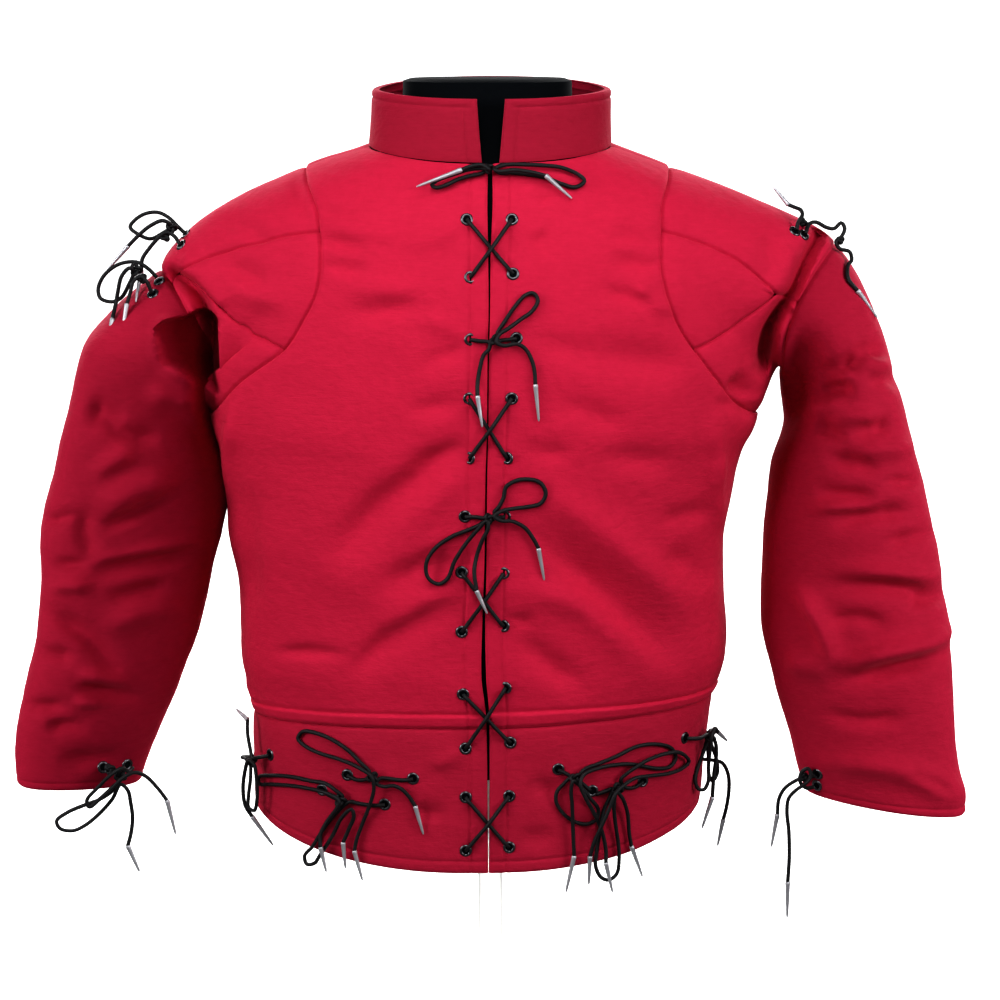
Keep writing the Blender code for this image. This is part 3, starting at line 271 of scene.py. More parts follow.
# The others (x, z, y)
SIDE_LACES = {
    "skirt_3_front": (
        (-197, 345, -62.3), (-205, 342, -58), (-212, 341, -56), (-215, 350, -52), (-217, 363, -50),
        (-217, 374, -48), (-228, 381, -37)),
    "skirt_3_side": (
        (-214.8, 328.9, -7.9), (-225, 329, -9), (-221, 333, -29), (-217, 337, -49),
        (-214, 336, -59), (-214, 323, -61), (-216, 307, -61), (-216, 296, -61), (-211, 294, -63),
        (-208, 305, -67), (-208, 324, -69), (-210, 338, -69), (-215, 341, -65), (-219, 329, -61),
        (-221, 312, -59), (-219, 297, -59), (-213, 287, -59), (-195, 260, -57)),
    "skirt_6_front": (
        (175, 362, -69), (187, 360, -61), (195, 359, -46), (194, 350, -43), (190, 338, -45),
        (186, 328, -49), (184, 319, -52), (187, 311, -52), (192, 310, -51), (196, 317, -49),
        (196, 331, -49), (197, 347, -53), (198, 360, -56), (201, 366, -49), (205, 360, -38),
        (215, 346, -16)),
    "skirt_6_side": (
        (197.7, 348.7, 3.5), (204, 348, 4), (202, 355, -12), (198, 357, -30), (200, 346, -30),
        (205, 331, -27), (206, 320, -27), (202, 312, -28), (198, 318, -34), (197, 333, -36),
        (196, 348, -38), (196, 356, -40), (202, 352, -38), (204, 341, -36), (202, 319, -35),
        (201, 298, -34), (192, 269, -34)),
    "skirt_7_side": (
        (191.5, 318.7, 22.2), (206, 317, 24), (214, 315, 22), (219, 306, 18), (220, 293, 16),
        (218, 276, 15), (215, 263, 15), (210, 238, 15)),
    "shoulder_1_upper": (
        (-268.7, 804.8, -5.1), (-270, 806, -6), (-277, 812, -2), (-285, 819, 2), (-294, 823, 4),
        (-305, 822, 4), (-315, 816, 4), (-319, 810, 4), (-312, 804, 2), (-301, 800, 0),
        (-290, 805, -4), (-281, 812, -8), (-288, 817, -12), (-300, 812, -10), (-311, 803, -8),
        (-320, 794, -6), (-339, 773, -4)),
    "shoulder_1_lower": (
        (-272.5, 796.6, -16.6), (-278, 804, -16), (-285, 807, -16), (-292, 802, -14), (-301, 792, -12),
        (-307, 783, -11), (-308, 773, -12), (-311, 747, -32)),
    "shoulder_2_upper": (
        (-293, 768, -23), (-301, 776, -23), (-311, 781, -19), (-324, 780, -17), (-334, 775, -15),
        (-342, 767, -15), (-346, 757, -15), (-344, 749, -17), (-334, 746, -19), (-325, 750, -22),
        (-318, 761, -25), (-313, 773, -27), (-316, 777, -31), (-323, 770, -30), (-327, 756, -28),
        (-330, 740, -26), (-331, 733, -31), (-335, 705, -55)),
    "shoulder_2_lower": (
        (-296.4, 755.2, -32.2), (-301, 766, -35), (-306, 770, -35), (-312, 766, -36), (-315, 756, -37),
        (-318, 746, -39), (-322, 719, -48)),
    "shoulder_3_upper": (
        (268.4, 810.6, -34), (270, 817, -30), (274, 823, -25), (273, 827, -19), (268, 829, -14),
        (263, 831, -12), (250, 846, -8)),
    "shoulder_3_lower": (
        (276.7, 807.5, -30.4), (281, 815, -20), (287, 816, -16), (297, 811, -13), (304, 810, -10),
        (310, 815, -10), (313, 810, -11), (310, 803, -13), (305, 799, -16), (308, 793, -19),
        (317, 790, -17), (319, 783, -17), (315, 779, -25), (314, 768, -37), (322, 758, -39),
        (340, 734, -35)),
    "cuff_left_loop": (
        (-340.4, 336.1, -73.3), (-334, 334, -73), (-330, 329, -73), (-335, 316, -71), (-348, 306, -69),
        (-361, 301, -69), (-377, 294, -69), (-387, 286, -69), (-384, 279, -69), (-373, 277, -69),
        (-362, 282, -70), (-349, 293, -72), (-336, 308, -75), (-328, 322, -77), (-322, 317, -77),
        (-320, 304, -73), (-319, 289, -70), (-321, 274, -69), (-324, 263, -69), (-314, 239, -69)),
    "cuff_left_end": (
        (-319.4, 332.1, -58.3), (-322, 331, -66), (-327, 337, -78), (-336, 332, -82), (-347, 321, -81),
        (-358, 308, -80), (-356, 302, -80), (-345, 311, -81), (-332, 323, -82), (-323, 331, -83),
        (-315, 334, -81), (-306, 329, -75), (-296, 317, -71), (-288, 305, -69), (-281, 274, -69)),
    "cuff_right_short": (
        (291, 324, -57), (284, 322, -51), (275, 318, -49), (265, 310, -47), (260, 299, -45),
        (259, 285, -45), (254, 255, -45)),
    "cuff_right_long": (
        (290.6, 313.2, -53.3), (284, 312, -53), (278, 318, -55), (279, 327, -55), (285, 331, -57),
        (287, 324, -58), (282, 318, -60), (274, 311, -57), (268, 302, -53), (267, 289, -51),
        (269, 272, -50), (270, 247, -49), (269, 223, -49), (269, 190, -49)),
}
# Knots (x, z, y, size over all) of the bows; on the front the y is how far off the cloth
FRONT_KNOTS = ((-1, 868, 6, 11), (5, 726, 5, 12), (0, 573, 5, 12), (-102, 340, 6, 13),
               (-131, 317, 6, 14), (75, 340, 7, 13), (112, 328, 7, 13))
SIDE_KNOTS = ((-213, 339, -61, 13), (198, 357, -46, 12), (-281, 810, -8, 13), (-286, 803, -14, 11),
              (-311, 775, -26, 14), (-305, 768, -33, 11), (275, 816, -19, 10), (309, 800, -14, 9),
              (-328, 330, -76, 14), (-338, 335, -73, 12), (281, 322, -54, 11))
# Eyelets (x, z) that the camera looks at, and (x, z, y) of those on the sides
FRONT_EYELETS = ((-16, 726), (23, 727), (-21, 574), (13, 574), (-125, 339), (-67, 339), (-148, 323),
                 (-92, 315), (60, 347), (90, 326), (135, 330))
SIDE_EYELETS = ((-197, 345, -62), (-215, 329, -8), (175, 362, -69), (198, 349, 4), (192, 319, 22),
                (-269, 805, -5), (-272.5, 796.6, -17), (-293, 768, -23), (-296.4, 755.2, -32),
                (268, 811, -33), (277, 807.5, -30), (-340, 336, -73), (-319, 332, -58),
                (291, 324, -57), (291, 313, -53))
EYELET_RADIUS = 5.6
EYELET_HOLE = 2.9
KNOT_TURN = 0.9              # how much further round each knot is turned than the one before it

# The picture's view, in metres and millimetres of lens
CAMERA_PLACE = (0.009, -2.60, 1.02)
CAMERA_AIM = (0.009, 0.0, 0.565)
LENS, SENSOR = 105.58, 36.0

AMBIENT = 0.15               # strength of the light from all round
BACKDROP = 90.0              # radius and height of the white room, in metres
ROOM_SIDES = 64
LEFT_BOX = (-2.342, -1.352, 1.325)
RIGHT_BOX = (2.342, -1.352, 1.325)
# Name, place, size in metres, power in watts and the group of pieces that it lights
STUDIO_LIGHTS = (("left_box", LEFT_BOX, 1.2, 36.0, "all"),
                 ("right_box", RIGHT_BOX, 1.2, 33.0, "trunk"),
                 ("right_box_far", RIGHT_BOX, 1.2, 16.0, "sleeve_left"),
                 ("top_far", (1.165, 0.205, 3.14), 1.2, 36.0, "sleeve_left"),
                 ("back_left", (-1.3, 2.5, 1.8), 1.4, 45.0, "all"),
                 ("back_right", (1.3, 2.5, 1.8), 1.4, 45.0, "all"),
                 ("right_box_near", RIGHT_BOX, 1.2, 44.0, "sleeve_right"),
                 ("front_low", (0.0, -1.212, 1.3), 0.6, 4.3, "trunk"),
                 ("front_high", (0.0, -0.803, 1.747), 0.6, 4.7, "trunk"),
                 ("stand_front", (0.0, -2.4, 0.5), 1.2, 70.0, "stand"))
LIGHTS_AIM = (0.0, 0.0, 0.6)
# The size each piece was cut to, seams left out, in metres, and its flat area in square metres
FLAT_CUTS = {"front_left": (0.33, 0.56, 0.128), "front_right": (0.32, 0.55, 0.123),
             "back": (0.63, 0.57, 0.264), "collar": (0.60, 0.055, 0.0315),
             "waist_front_left": (0.285, 0.13, 0.0329), "waist_front_right": (0.27, 0.13, 0.0327),
             "waist_back": (0.545, 0.105, 0.0536),
             "shoulder_top_left": (0.335, 0.175, 0.036), "shoulder_top_right": (0.335, 0.18, 0.0414),
             "gusset_left": (0.12, 0.15, 0.0103), "gusset_right": (0.115, 0.125, 0.0076),
             "underarm_left": (0.295, 0.15, 0.024), "underarm_right": (0.29, 0.12, 0.0193),
             "sleeve_left": (0.50, 0.50, 0.191), "sleeve_right": (0.49, 0.54, 0.200)}


# Surfaces of the garment, as the solids have them

def hermite(start, start_slope, end, end_slope, share):
    """A cubic from start to end with the given slopes, read at share 0 to 1."""
    two, three = share ** 2, share ** 3
    return ((2 * three - 3 * two + 1) * start + (three - 2 * two + share) * start_slope
            + (3 * two - 2 * three) * end + (three - two) * end_slope)


def ramp(low, high, value):
    """A smooth step from 0 at low to 1 at high."""
    share = np.clip((value - low) / (high - low), 0, 1)
    return share * share * (3 - 2 * share)


def smooth(column, at):
    """A cubic through a table's column, read at rows counted from 0, its slopes being half the
    difference between the rows on either side."""
    slopes = np.gradient(column)
    at = np.asarray(at, float)
    first = np.clip(np.floor(at).astype(int), 0, len(column) - 2)
    return hermite(column[first], slopes[first], column[first + 1], slopes[first + 1], at - first)


def rounded_ring(angle, middle, half_width, front, back, z_side, z_front, z_back):
    """A point of a rounded section: x = middle + half width * cos^(2/n), y = -depth * sin^(2/n),
    and its height runs from z_side to z_front or z_back with sin^DIP_POWER."""
    cosine, sine = np.cos(angle), np.sin(angle)
    depth = np.where(sine > 0, front, back)
    x = middle + half_width * np.sign(cosine) * np.abs(cosine) ** (2 / SQUARENESS)
    y = -depth * np.sign(sine) * np.abs(sine) ** (2 / SQUARENESS)
    z = z_side + (np.where(sine > 0, z_front, z_back) - z_side) * np.abs(sine) ** DIP_POWER
    return np.stack([x, y, z], axis=-1) * MM


def table_ring(table, angle, at):
    """A rounded ring read from a table's smoothed columns at a row."""
    names = ("middle", "half_width", "front", "back", "z_side", "z_front", "z_back")
    return rounded_ring(angle, *(smooth(table[name], at) for name in names))


def body(angle, at):
    """The outer surface of the doublet's trunk."""
    return table_ring(BODY, angle, at)


def collar(angle, at):
    """The outer surface of the stand collar."""
    return table_ring(COLLAR, angle, at)


def angle_at_x(x, at, table=BODY):
    """The angle at which a section's front reaches a given x, in mm: arccos(share^(n/2))."""
    share = (x - smooth(table["middle"], at)) / smooth(table["half_width"], at)
    return np.arccos(np.sign(share) * np.abs(np.clip(share, -1, 1)) ** (SQUARENESS / 2))


def armscye_angle(side, at, face="front"):
    """The angle of the armscye seam at a row, or of the shoulder or side seam where the seam's
    share of the half width is 1."""
    if face == "front":
        half_rows = len(ARMSCYE_FRONT[side]) - 1
        share = smooth(ARMSCYE_FRONT[side], np.clip((np.asarray(at, float) - 1) * 2, 0, half_rows))
    else:
        share = smooth(BODY["armscye_back"], at)
    share = np.clip(share, 0.0, 1.0)
    turn = np.arccos(share ** (SQUARENESS / 2))
    turn = np.where((np.asarray(at) <= ROW["yoke"]) | (np.asarray(at) >= ROW["armpit"]), 0.0, turn)
    from_side = turn if face == "front" else -turn
    return from_side if SIDES[side] > 0 else np.pi - from_side


def front_span(side, share, at):
    """A front's angle at a share of the way from the opening to the side."""
    edge = smooth(BODY["opening_x"], at) + SIDES[side] * smooth(BODY["opening"], at) / 2
    opening = angle_at_x(edge, at)
    return opening + share * (armscye_angle(side, at) - opening)


def back_span(share, at):
    """The back's angle at a share of the way from the right side round to the left."""
    right = armscye_angle("right", at, "back")
    left = armscye_angle("left", at, "back")
    return right + share * (left - 2 * np.pi - right)


def armscye(side, turn):
    """A point of the armscye seam: turn 0 at the top, 0.5 at the armpit by way of the front and 1
    at the top again by way of the back. Returns the angle and row on the body."""
    turn = np.asarray(turn, float)
    at = 1 + 4 * np.where(turn <= 0.5, 2 * turn, 2 - 2 * turn)
    front, back = armscye_angle(side, at), armscye_angle(side, at, "back")
    return np.where(turn <= 0.5, front, back), at


def sleeve(side, turn, at):
    """The sleeve's outer surface: turn goes round from the outer or top point by way of the
    front, and at counts the table's rows down the sleeve."""
    table = SLEEVES[side]
    value = {name: smooth(table[name], at) for name in SLEEVE_COLUMNS}
    cosine, sine = np.cos(2 * np.pi * turn), np.sin(2 * np.pi * turn)
    inward = -SIDES[side] * value["bow"] * np.maximum(sine, 0.0) ** BOW_POWER
    x = (value["outer_x"] * (1 + cosine) + value["inner_x"] * (1 - cosine)) / 2 + inward
    z = (value["outer_z"] * (1 + cosine) + value["inner_z"] * (1 - cosine)) / 2
    before = (turn > 0) & (turn < 0.5)
    power = 1 - RIDGE_OUT[side] * ramp(0.0, RIDGE_ROWS, at)
    shifted = np.pi * np.clip(2 * turn, 1e-6, 1) ** power
    sine = np.where(before, np.sin(shifted), sine)
    y = value["middle_y"] - value["depth"] * np.sign(sine) * np.abs(sine) ** SLEEVE_ROUNDNESS
    return np.stack([x, y, z], axis=-1) * MM


def unit(vectors):
    """Vectors brought to length 1."""
    return vectors / np.maximum(np.linalg.norm(vectors, axis=-1, keepdims=True), 1e-12)


def normals_of(surface, first, second, step_first=0.004, step_second=0.02):
    """Normals of a surface of two parameters, from the cross product of central differences."""
    along_first = surface(first + step_first, second) - surface(first - step_first, second)
    along_second = surface(first, second + step_second) - surface(first, second - step_second)
    return unit(np.cross(along_first, along_second))


def body_normals(angle, at):
    """Outward normals of the trunk."""
    inside = np.clip(at, 0.02, len(BODY_ROWS) - 1.02)
    return normals_of(body, angle, inside, 0.01)


def leaving(side, turn):
    """The way in which the shoulder's surface reaches the sleeve seam: down the arm at the top,
    in towards the armhole at the front and back, straight down at the armpit."""
    cosine, sine = np.cos(2 * np.pi * turn)[..., None], np.sin(2 * np.pi * turn)[..., None]
    outward = np.array([SIDES[side], 1.0, 1.0])
    top = outward * (SHOULDERS[side]["out"], 0.0, -SHOULDERS[side]["down"])
    armpit, front, back = (outward * SHOULDER_ENDS[end] for end in ("armpit", "front", "back"))
    return unit(top * np.maximum(cosine, 0) + armpit * np.maximum(-cosine, 0)
                + front * np.maximum(sine, 0) + back * np.maximum(-sine, 0))


def shoulder(side, turn, out):
    """The shoulder's surface, from the armscye seam (out 0) to the sleeve seam (out 1): for each
    turn a cubic that leaves in line with the trunk and arrives along the arm."""
    turn, out = np.broadcast_arrays(np.asarray(turn, float), np.asarray(out, float))
    angle, at = armscye(side, turn)
    start = body(angle, at)
    step = 0.004
    before, after = armscye(side, np.clip(turn - step, 0, 1)), armscye(side, np.clip(turn + step, 0, 1))
    along = unit(body(*after) - body(*before))
    off_seam = unit(np.cross(body_normals(angle, at), along)) * SIDES[side]
    end = sleeve(side, turn, np.zeros_like(turn))
    share, more = SHOULDERS[side]["handle_share"], SHOULDERS[side]["handle_more"]
    reach = share * np.linalg.norm(end - start, axis=-1, keepdims=True) + more * MM
    return hermite(start, off_seam * reach, end, leaving(side, turn) * reach, out[..., None])


def shoulder_normals(side, turn, out):
    """Outward normals of the shoulder: the trunk's own at the armscye seam, and those shared with
    the sleeve at its outer end."""
    turn, out = np.broadcast_arrays(np.asarray(turn, float), np.asarray(out, float))
    inner = np.clip(turn, 0.006, 0.994)
    found = normals_of(lambda a, b: shoulder(side, a, b), inner, np.clip(out, 0.03, 0.97), 0.005)
    found = found * SIDES[side]
    trunk = body_normals(*armscye(side, turn))
    near_trunk = np.clip(1 - out / 0.15, 0, 1)[..., None]
    return unit(found * (1 - near_trunk) + trunk * near_trunk)


def sleeve_normals(side, turn, at):
    """Outward normals of a sleeve."""
    inside = np.clip(at, 0.05, len(SLEEVE_ROWS[side]) - 1.05)
    return normals_of(lambda a, b: sleeve(side, a, b), turn, inside) * SIDES[side]


def seam_normals(side, turn):
    """The normals that shoulder and sleeve share where they meet."""
    ones = np.ones_like(turn)
    return unit(shoulder_normals(side, turn, ones) + sleeve_normals(side, turn, 0 * ones))


def gusset_edges(side, out):
    """The turns of the gusset's upper and lower seam at a distance out from the armscye."""
    steps = np.clip(out / GUSSET_REACH[side], 0, 1) * (len(GUSSET_UPPER[side]) - 1)
    return smooth(GUSSET_UPPER[side], steps), smooth(GUSSET_LOWER[side], steps)


def front_point(x, z, lift):
    """A point before the trunk at a given x and height, in mm, and a distance off the cloth. Past
    the hem it hangs at the hem's depth. The row is found by halving."""
    x, z, lift = (np.asarray(value, float) for value in (x, z, lift))
    above, below = np.zeros_like(x), np.full_like(x, ROW["hem"])
    for _ in range(30):
        at = (above + below) / 2
        high = body(angle_at_x(x, at), at)[..., 2] / MM > z
        above, below = np.where(high, at, above), np.where(high, below, at)
    angle = angle_at_x(x, at)
    forward = np.maximum(-body_normals(angle, at)[..., 1], 0.3)
    y = body(angle, at)[..., 1] / MM - lift / forward
    return np.stack([x, y, z], axis=-1) * MM


# Creases

def smooth_route(points, spacing):
    """A smooth curve through a route's points, read at about even spacing: each span is a cubic
    whose slopes follow the chords on either side."""
    points = np.asarray(points, float)
    chords = np.linalg.norm(np.diff(points, axis=0), axis=1)
    knots = np.concatenate([[0.0], np.cumsum(np.sqrt(chords))])
    slopes = np.gradient(points, knots, axis=0)
    fine = np.linspace(0, knots[-1], 40 * len(points))
    first = np.clip(np.searchsorted(knots, fine, side="right") - 1, 0, len(points) - 2)
    span = (knots[first + 1] - knots[first])[:, None]
    share = (fine - knots[first])[:, None] / span
    curve = hermite(points[first], slopes[first] * span, points[first + 1],
                    slopes[first + 1] * span, share)
    along = np.concatenate([[0.0], np.cumsum(np.linalg.norm(np.diff(curve, axis=0), axis=1))])
    stations = np.linspace(0, along[-1], max(int(round(along[-1] / spacing)), 2) + 1)
    return np.stack([np.interp(stations, along, curve[:, k]) for k in range(points.shape[1])], axis=-1)


# Creases as the front shows them: width, height (a trough's is negative), how much wider the side to
# the left of its course is, and its course (x, z)
TRUNK_CREASES = (
    (5, -1.8, 0, ((-148, 830), (-131, 829), (-113, 826))),
    (5, -2.0, 0, ((-146, 807), (-127, 806), (-107, 801))),
    (5, -1.8, 0, ((-144, 786), (-125, 785), (-103, 782))),
    (7, 1.6, 0, ((-141, 818), (-110, 816), (-74, 812))),
    (8, 1.8, 0, ((-127, 766), (-93, 766), (-53, 762))),
    (7, -2.0, 0, ((-120, 744), (-88, 751), (-53, 760))),
    (6, 1.4, 0, ((-66, 804), (-43, 812), (-23, 825))),
    (6, 1.4, 0, ((-56, 743), (-38, 737), (-20, 731))),
    (6, -1.6, 0, ((-60, 703), (-42, 710), (-23, 718))),
    (6, -1.6, 0, ((-67, 665), (-44, 670), (-22, 676))),
    (6, -1.5, 0, ((-66, 620), (-44, 627), (-22, 635))),
    (12, -5.5, 0.2, ((-23, 638), (-61, 607), (-98, 578), (-132, 535))),
    (10, 2.2, 0, ((-23, 619), (-55, 584), (-81, 561))),
    (9, -3.8, 0.2, ((-32, 497), (-71, 476), (-100, 452), (-119, 428))),
    (9, 2.2, 0, ((-30, 506), (-60, 493), (-88, 472))),
    (9, -2.8, 0, ((-24, 536), (-55, 529), (-81, 517), (-101, 505))),
    (4, -2.2, 0, ((-184, 444), (-157, 448), (-128, 448))),
    (5, 3.0, 0, ((-223, 662), (-228, 620), (-232, 576))),
    (10, -3.2, 0, ((-210, 580), (-214, 532), (-212, 478))),
    (3, 1.4, 0, ((-219, 405), (-216, 395), (-209, 387))),
    (5, 3.2, 0, ((121, 770), (132, 762), (152, 748))),
    (5, -2.0, 0, ((107, 814), (124, 811), (145, 806))),
    (5, -2.0, 0, ((104, 792), (125, 789), (147, 785))),
    (5, -2.4, 0, ((97, 766), (119, 761), (145, 755))),
    (6, -1.5, 0, ((40, 815), (45, 806), (50, 796))),
    (12, -3.2, 0, ((87, 716), (125, 709), (165, 697))),
    (8, -1.7, 0, ((28, 726), (60, 719), (90, 710))),
    (6, 3.0, 0, ((194, 658), (197, 628), (199, 595))),
    (5, -3.0, 0, ((196, 666), (213, 662), (237, 650))),
    (8, -1.8, 0, ((54, 674), (84, 664), (113, 651))),
    (9, -2.0, 0, ((93, 625), (126, 621), (157, 616))),
    (7, -1.6, 0, ((27, 632), (47, 630), (68, 626))),
    (11, 4.2, 0, ((46, 593), (86, 568), (144, 512), (175, 477))),
    (12, -5.5, 0.2, ((39, 564), (74, 526), (113, 488), (144, 461), (174, 433))),
    (10, 3.0, 0, ((23, 510), (78, 495), (122, 452), (146, 425))),
    (9, -3.2, 0, ((23, 470), (48, 445), (80, 419))),
    (5, -1.6, 0, ((14, 482), (26, 481), (38, 480))),
    (7, -2.6, 0, ((151, 565), (170, 567), (190, 569))),
    (6, 2.6, 0, ((194, 614), (197, 585), (204, 553))),
    (8, -2.6, 0, ((155, 534), (174, 521), (192, 503))),
    (6, -1.3, 0, ((-17, 859), (-42, 852), (-69, 844))),
    (5, -1.3, 0, ((42, 851), (46, 846), (49, 840))),
    (6, -2.2, 0, ((-64, 309), (-52, 309), (-40, 308))),
    (5, 1.3, 0, ((-54, 352), (-39, 356), (-24, 363))),
    (6, -2.2, 0, ((37, 335), (48, 331), (60, 326))),
    (7, -1.3, 0, ((25, 288), (40, 286), (55, 283))),
    (6, -2.2, 0, ((-237, 823), (-216, 816), (-194, 806))),
    (5, -1.6, 0, ((-172, 858), (-164, 842), (-157, 820))),
    (8, 2.2, 0, ((-231, 762), (-202, 758), (-172, 755))),
    (7, -2.0, 0, ((-236, 787), (-212, 778), (-187, 765))),
    (8, -2.4, 0, ((240, 810), (245, 791), (250, 770))),
    (6, -5.0, 0, ((211, 685), (220, 676), (231, 665))),
)
# Those that run from the shoulder on to the sleeve, and take the cloth straight back
ARMHOLE_CREASES = (
    (4.6, -30.0, 0, ((-287, 775), (-275, 769), (-262, 761), (-252, 749), (-248, 735), (-248, 715),
                     (-250, 690), (-250, 669), (-247, 647), (-241, 625), (-234, 606))),
    (8, 3.0, 0, ((-266, 780), (-248, 768), (-236, 752))),
    (4.2, -26.0, -0.45, ((294, 806), (277, 781), (266, 757), (254, 741), (247, 722), (245, 703),
                         (243, 684))),
    (5, -12.0, 0, ((258, 742), (246, 730), (241, 714), (240, 700))),
    (7, 3.0, 0, ((262, 790), (252, 775), (246, 762))),
)
# Shares of a crease's length over which its ends fade
ARMHOLE_FADE = 0.10
CREASE_FADE = 0.4
SLEEVE_CREASES = {
    "left": (
        (5, 3.0, 0, ((-292, 725), (-275, 733), (-262, 734))),
        (6, 3.0, 0, ((-284, 696), (-272, 690), (-256, 681))),
        (5, 2.5, 0, ((-291, 725), (-289, 712), (-284, 698))),
        (9, -3.2, 0, ((-350, 660), (-337, 654), (-322, 647))),
        (7, 2.6, 0, ((-297, 670), (-279, 669), (-260, 663))),
        (11, 4.2, 0, ((-336, 573), (-310, 587), (-281, 596))),
        (5, -3.0, 0, ((-334, 556), (-305, 570), (-278, 584))),
        (7, -2.6, 0, ((-356, 570), (-353, 549), (-348, 528))),
        (4, -2.0, 0, ((-391, 556), (-377, 562), (-363, 567))),
        (6, -3.2, 0, ((-343, 516), (-302, 522), (-263, 526))),
        (4, 1.6, 0, ((-343, 526), (-302, 532), (-263, 536))),
        (4, -1.6, 0, ((-383, 521), (-368, 522), (-351, 522))),
        (8, 2.6, 0, ((-334, 469), (-305, 476), (-277, 480))),
        (7, -3.6, 0.2, ((-391, 478), (-359, 461), (-343, 443), (-328, 421))),
        (5, 2.2, 0, ((-361, 423), (-344, 419), (-324, 413))),
        (5, -2.6, 0, ((-361, 412), (-337, 406), (-313, 396))),
        (4, 1.6, 0, ((-367, 399), (-355, 398), (-342, 396))),
        (5, -2.0, 0, ((-413, 391), (-393, 394), (-374, 392))),
        (5, -2.0, 0, ((-391, 374), (-375, 376), (-359, 374))),
        (6, -2.0, 0, ((-378, 344), (-353, 344), (-328, 341))),
        (6, 2.6, 0, ((-345, 600), (-330, 612), (-312, 622))),
        (6, -2.4, 0, ((-330, 640), (-312, 634), (-292, 632))),
        (5, -2.2, 0, ((-330, 492), (-308, 496), (-286, 499))),
        (5, 2.2, 0, ((-385, 500), (-368, 504), (-350, 503))),
        (5, -2.0, 0, ((-400, 440), (-385, 441), (-368, 438))),
    ),
    "right": (
        (14, -5.0, 0, ((268, 735), (272, 712), (270, 685), (262, 640))),
        (6, -5.0, 0, ((282, 684), (300, 691), (318, 701), (330, 706))),
        (6, -3.6, 0, ((280, 664), (296, 672), (310, 678))),
        (7, -3.2, 0, ((286, 672), (300, 676), (315, 678))),
        (6, 2.2, 0, ((286, 683), (300, 685), (315, 688))),
        (6, 2.2, 0, ((276, 656), (291, 662), (306, 665))),
        (5, -2.2, 0, ((285, 642), (295, 637), (307, 631))),
        (6, -2.6, 0, ((317, 638), (333, 642), (352, 643))),
        (5, -2.6, 0, ((291, 583), (313, 582), (334, 581))),
        (6, -3.2, 0, ((304, 560), (335, 566), (369, 568))),
        (4, -1.8, 0, ((345, 594), (360, 594), (378, 590))),
        (5, 2.6, 0, ((285, 571), (311, 574), (338, 575))),
        (6, -3.2, 0, ((301, 503), (346, 503), (398, 493))),
        (6, 2.6, 0, ((305, 515), (345, 515), (392, 506))),
        (6, 4.2, 0, ((268, 499), (282, 483), (295, 460), (304, 432))),
        (7, 4.2, 0, ((303, 433), (324, 436), (345, 444), (405, 454))),
        (6, -3.2, 0, ((312, 416), (353, 427), (403, 439))),
        (10, 3.0, 0, ((265, 426), (281, 429), (300, 427))),
        (5, -2.2, 0, ((366, 483), (382, 488), (407, 485))),
        (8, 3.0, 0, ((283, 332), (316, 339), (364, 335), (426, 304))),
        (4, -1.8, 0, ((374, 334), (390, 326), (410, 313))),
        (5, -2.4, 0, ((318, 712), (332, 709), (346, 704))),
        (5, 2.2, 0, ((316, 700), (332, 698), (348, 692))),
        (5, -2.2, 0, ((330, 682), (350, 682), (372, 676))),
        (6, 2.2, 0, ((300, 650), (318, 652), (338, 650))),
        (5, -2.4, 0, ((296, 615), (316, 612), (338, 606))),
        (6, 2.0, 0, ((320, 620), (345, 624), (370, 620))),
        (5, -2.2, 0, ((350, 540), (372, 545), (392, 543))),
        (5, -2.2, 0, ((300, 470), (322, 474), (345, 470))),
        (5, -2.0, 0, ((300, 385), (330, 380), (362, 384))),
    ),
}
# The same on the hidden back, as seen through the garment from the front
BACK_CREASES = (
    (12, -4.5, 0.2, ((-140, 620), (-90, 590), (-40, 570), (20, 566))),
    (11, 3.2, 0, ((-150, 585), (-95, 560), (-35, 540))),
    (12, -4.5, 0.2, ((150, 600), (100, 560), (60, 520), (20, 500))),
    (9, -3.0, 0, ((-165, 500), (-110, 480), (-50, 476))),
    (9, -3.0, 0, ((165, 480), (120, 462), (60, 455))),
    (8, 2.4, 0, ((-120, 455), (-60, 440), (0, 442))),
    (10, -2.6, 0, ((-170, 760), (-120, 744), (-70, 740))),
    (10, -2.6, 0, ((170, 752), (120, 740), (75, 738))),
    (7, -1.8, 0, ((-60, 830), (0, 822), (60, 830))),
    (9, -3.0, 0, ((-330, 640), (-300, 628), (-270, 630))),
    (8, -3.0, 0, ((-370, 560), (-330, 548), (-280, 556))),
    (7, 2.4, 0, ((-375, 480), (-330, 470), (-290, 476))),
    (7, -3.0, 0, ((-390, 420), (-345, 410), (-310, 420))),
    (9, -3.0, 0, ((290, 650), (325, 640), (350, 645))),
    (8, -3.0, 0, ((275, 570), (330, 560), (380, 566))),
    (7, 2.4, 0, ((280, 500), (330, 486), (390, 494))),
    (7, -3.0, 0, ((290, 430), (350, 420), (400, 428))),
)
# A hollow folded into the left sleeve's head: its depth at the first corner, how much it deepens per
# mm to the right, and its corners (x, z) with the softness of the edge that each begins
HOLLOWS = {"left": ((15.0, 0.6, ((-290, 724, 4.5), (-258, 740, 4.5), (-238, 738, 6), (-238, 668, 8),
                                 (-257, 680, 8), (-285, 698, 6))),),
           "right": ()}
# How much further the sleeve's inner side bulges towards the trunk, below the armpit
SLEEVE_TOUCH = {"left": 8.0, "right": 0.0}
# How much deeper than in their tables the creases are, how much wider, how far their courses run on
# past both ends, the step along them in mm and how unevenly they swell
CREASE_DEPTH = {"trunk": 2.0, "sleeve": 3.0}
CREASE_SPREAD = 1.35
CREASE_BEYOND = 0.4
CREASE_STEP = 4.0
CREASE_SWELL = 0.18


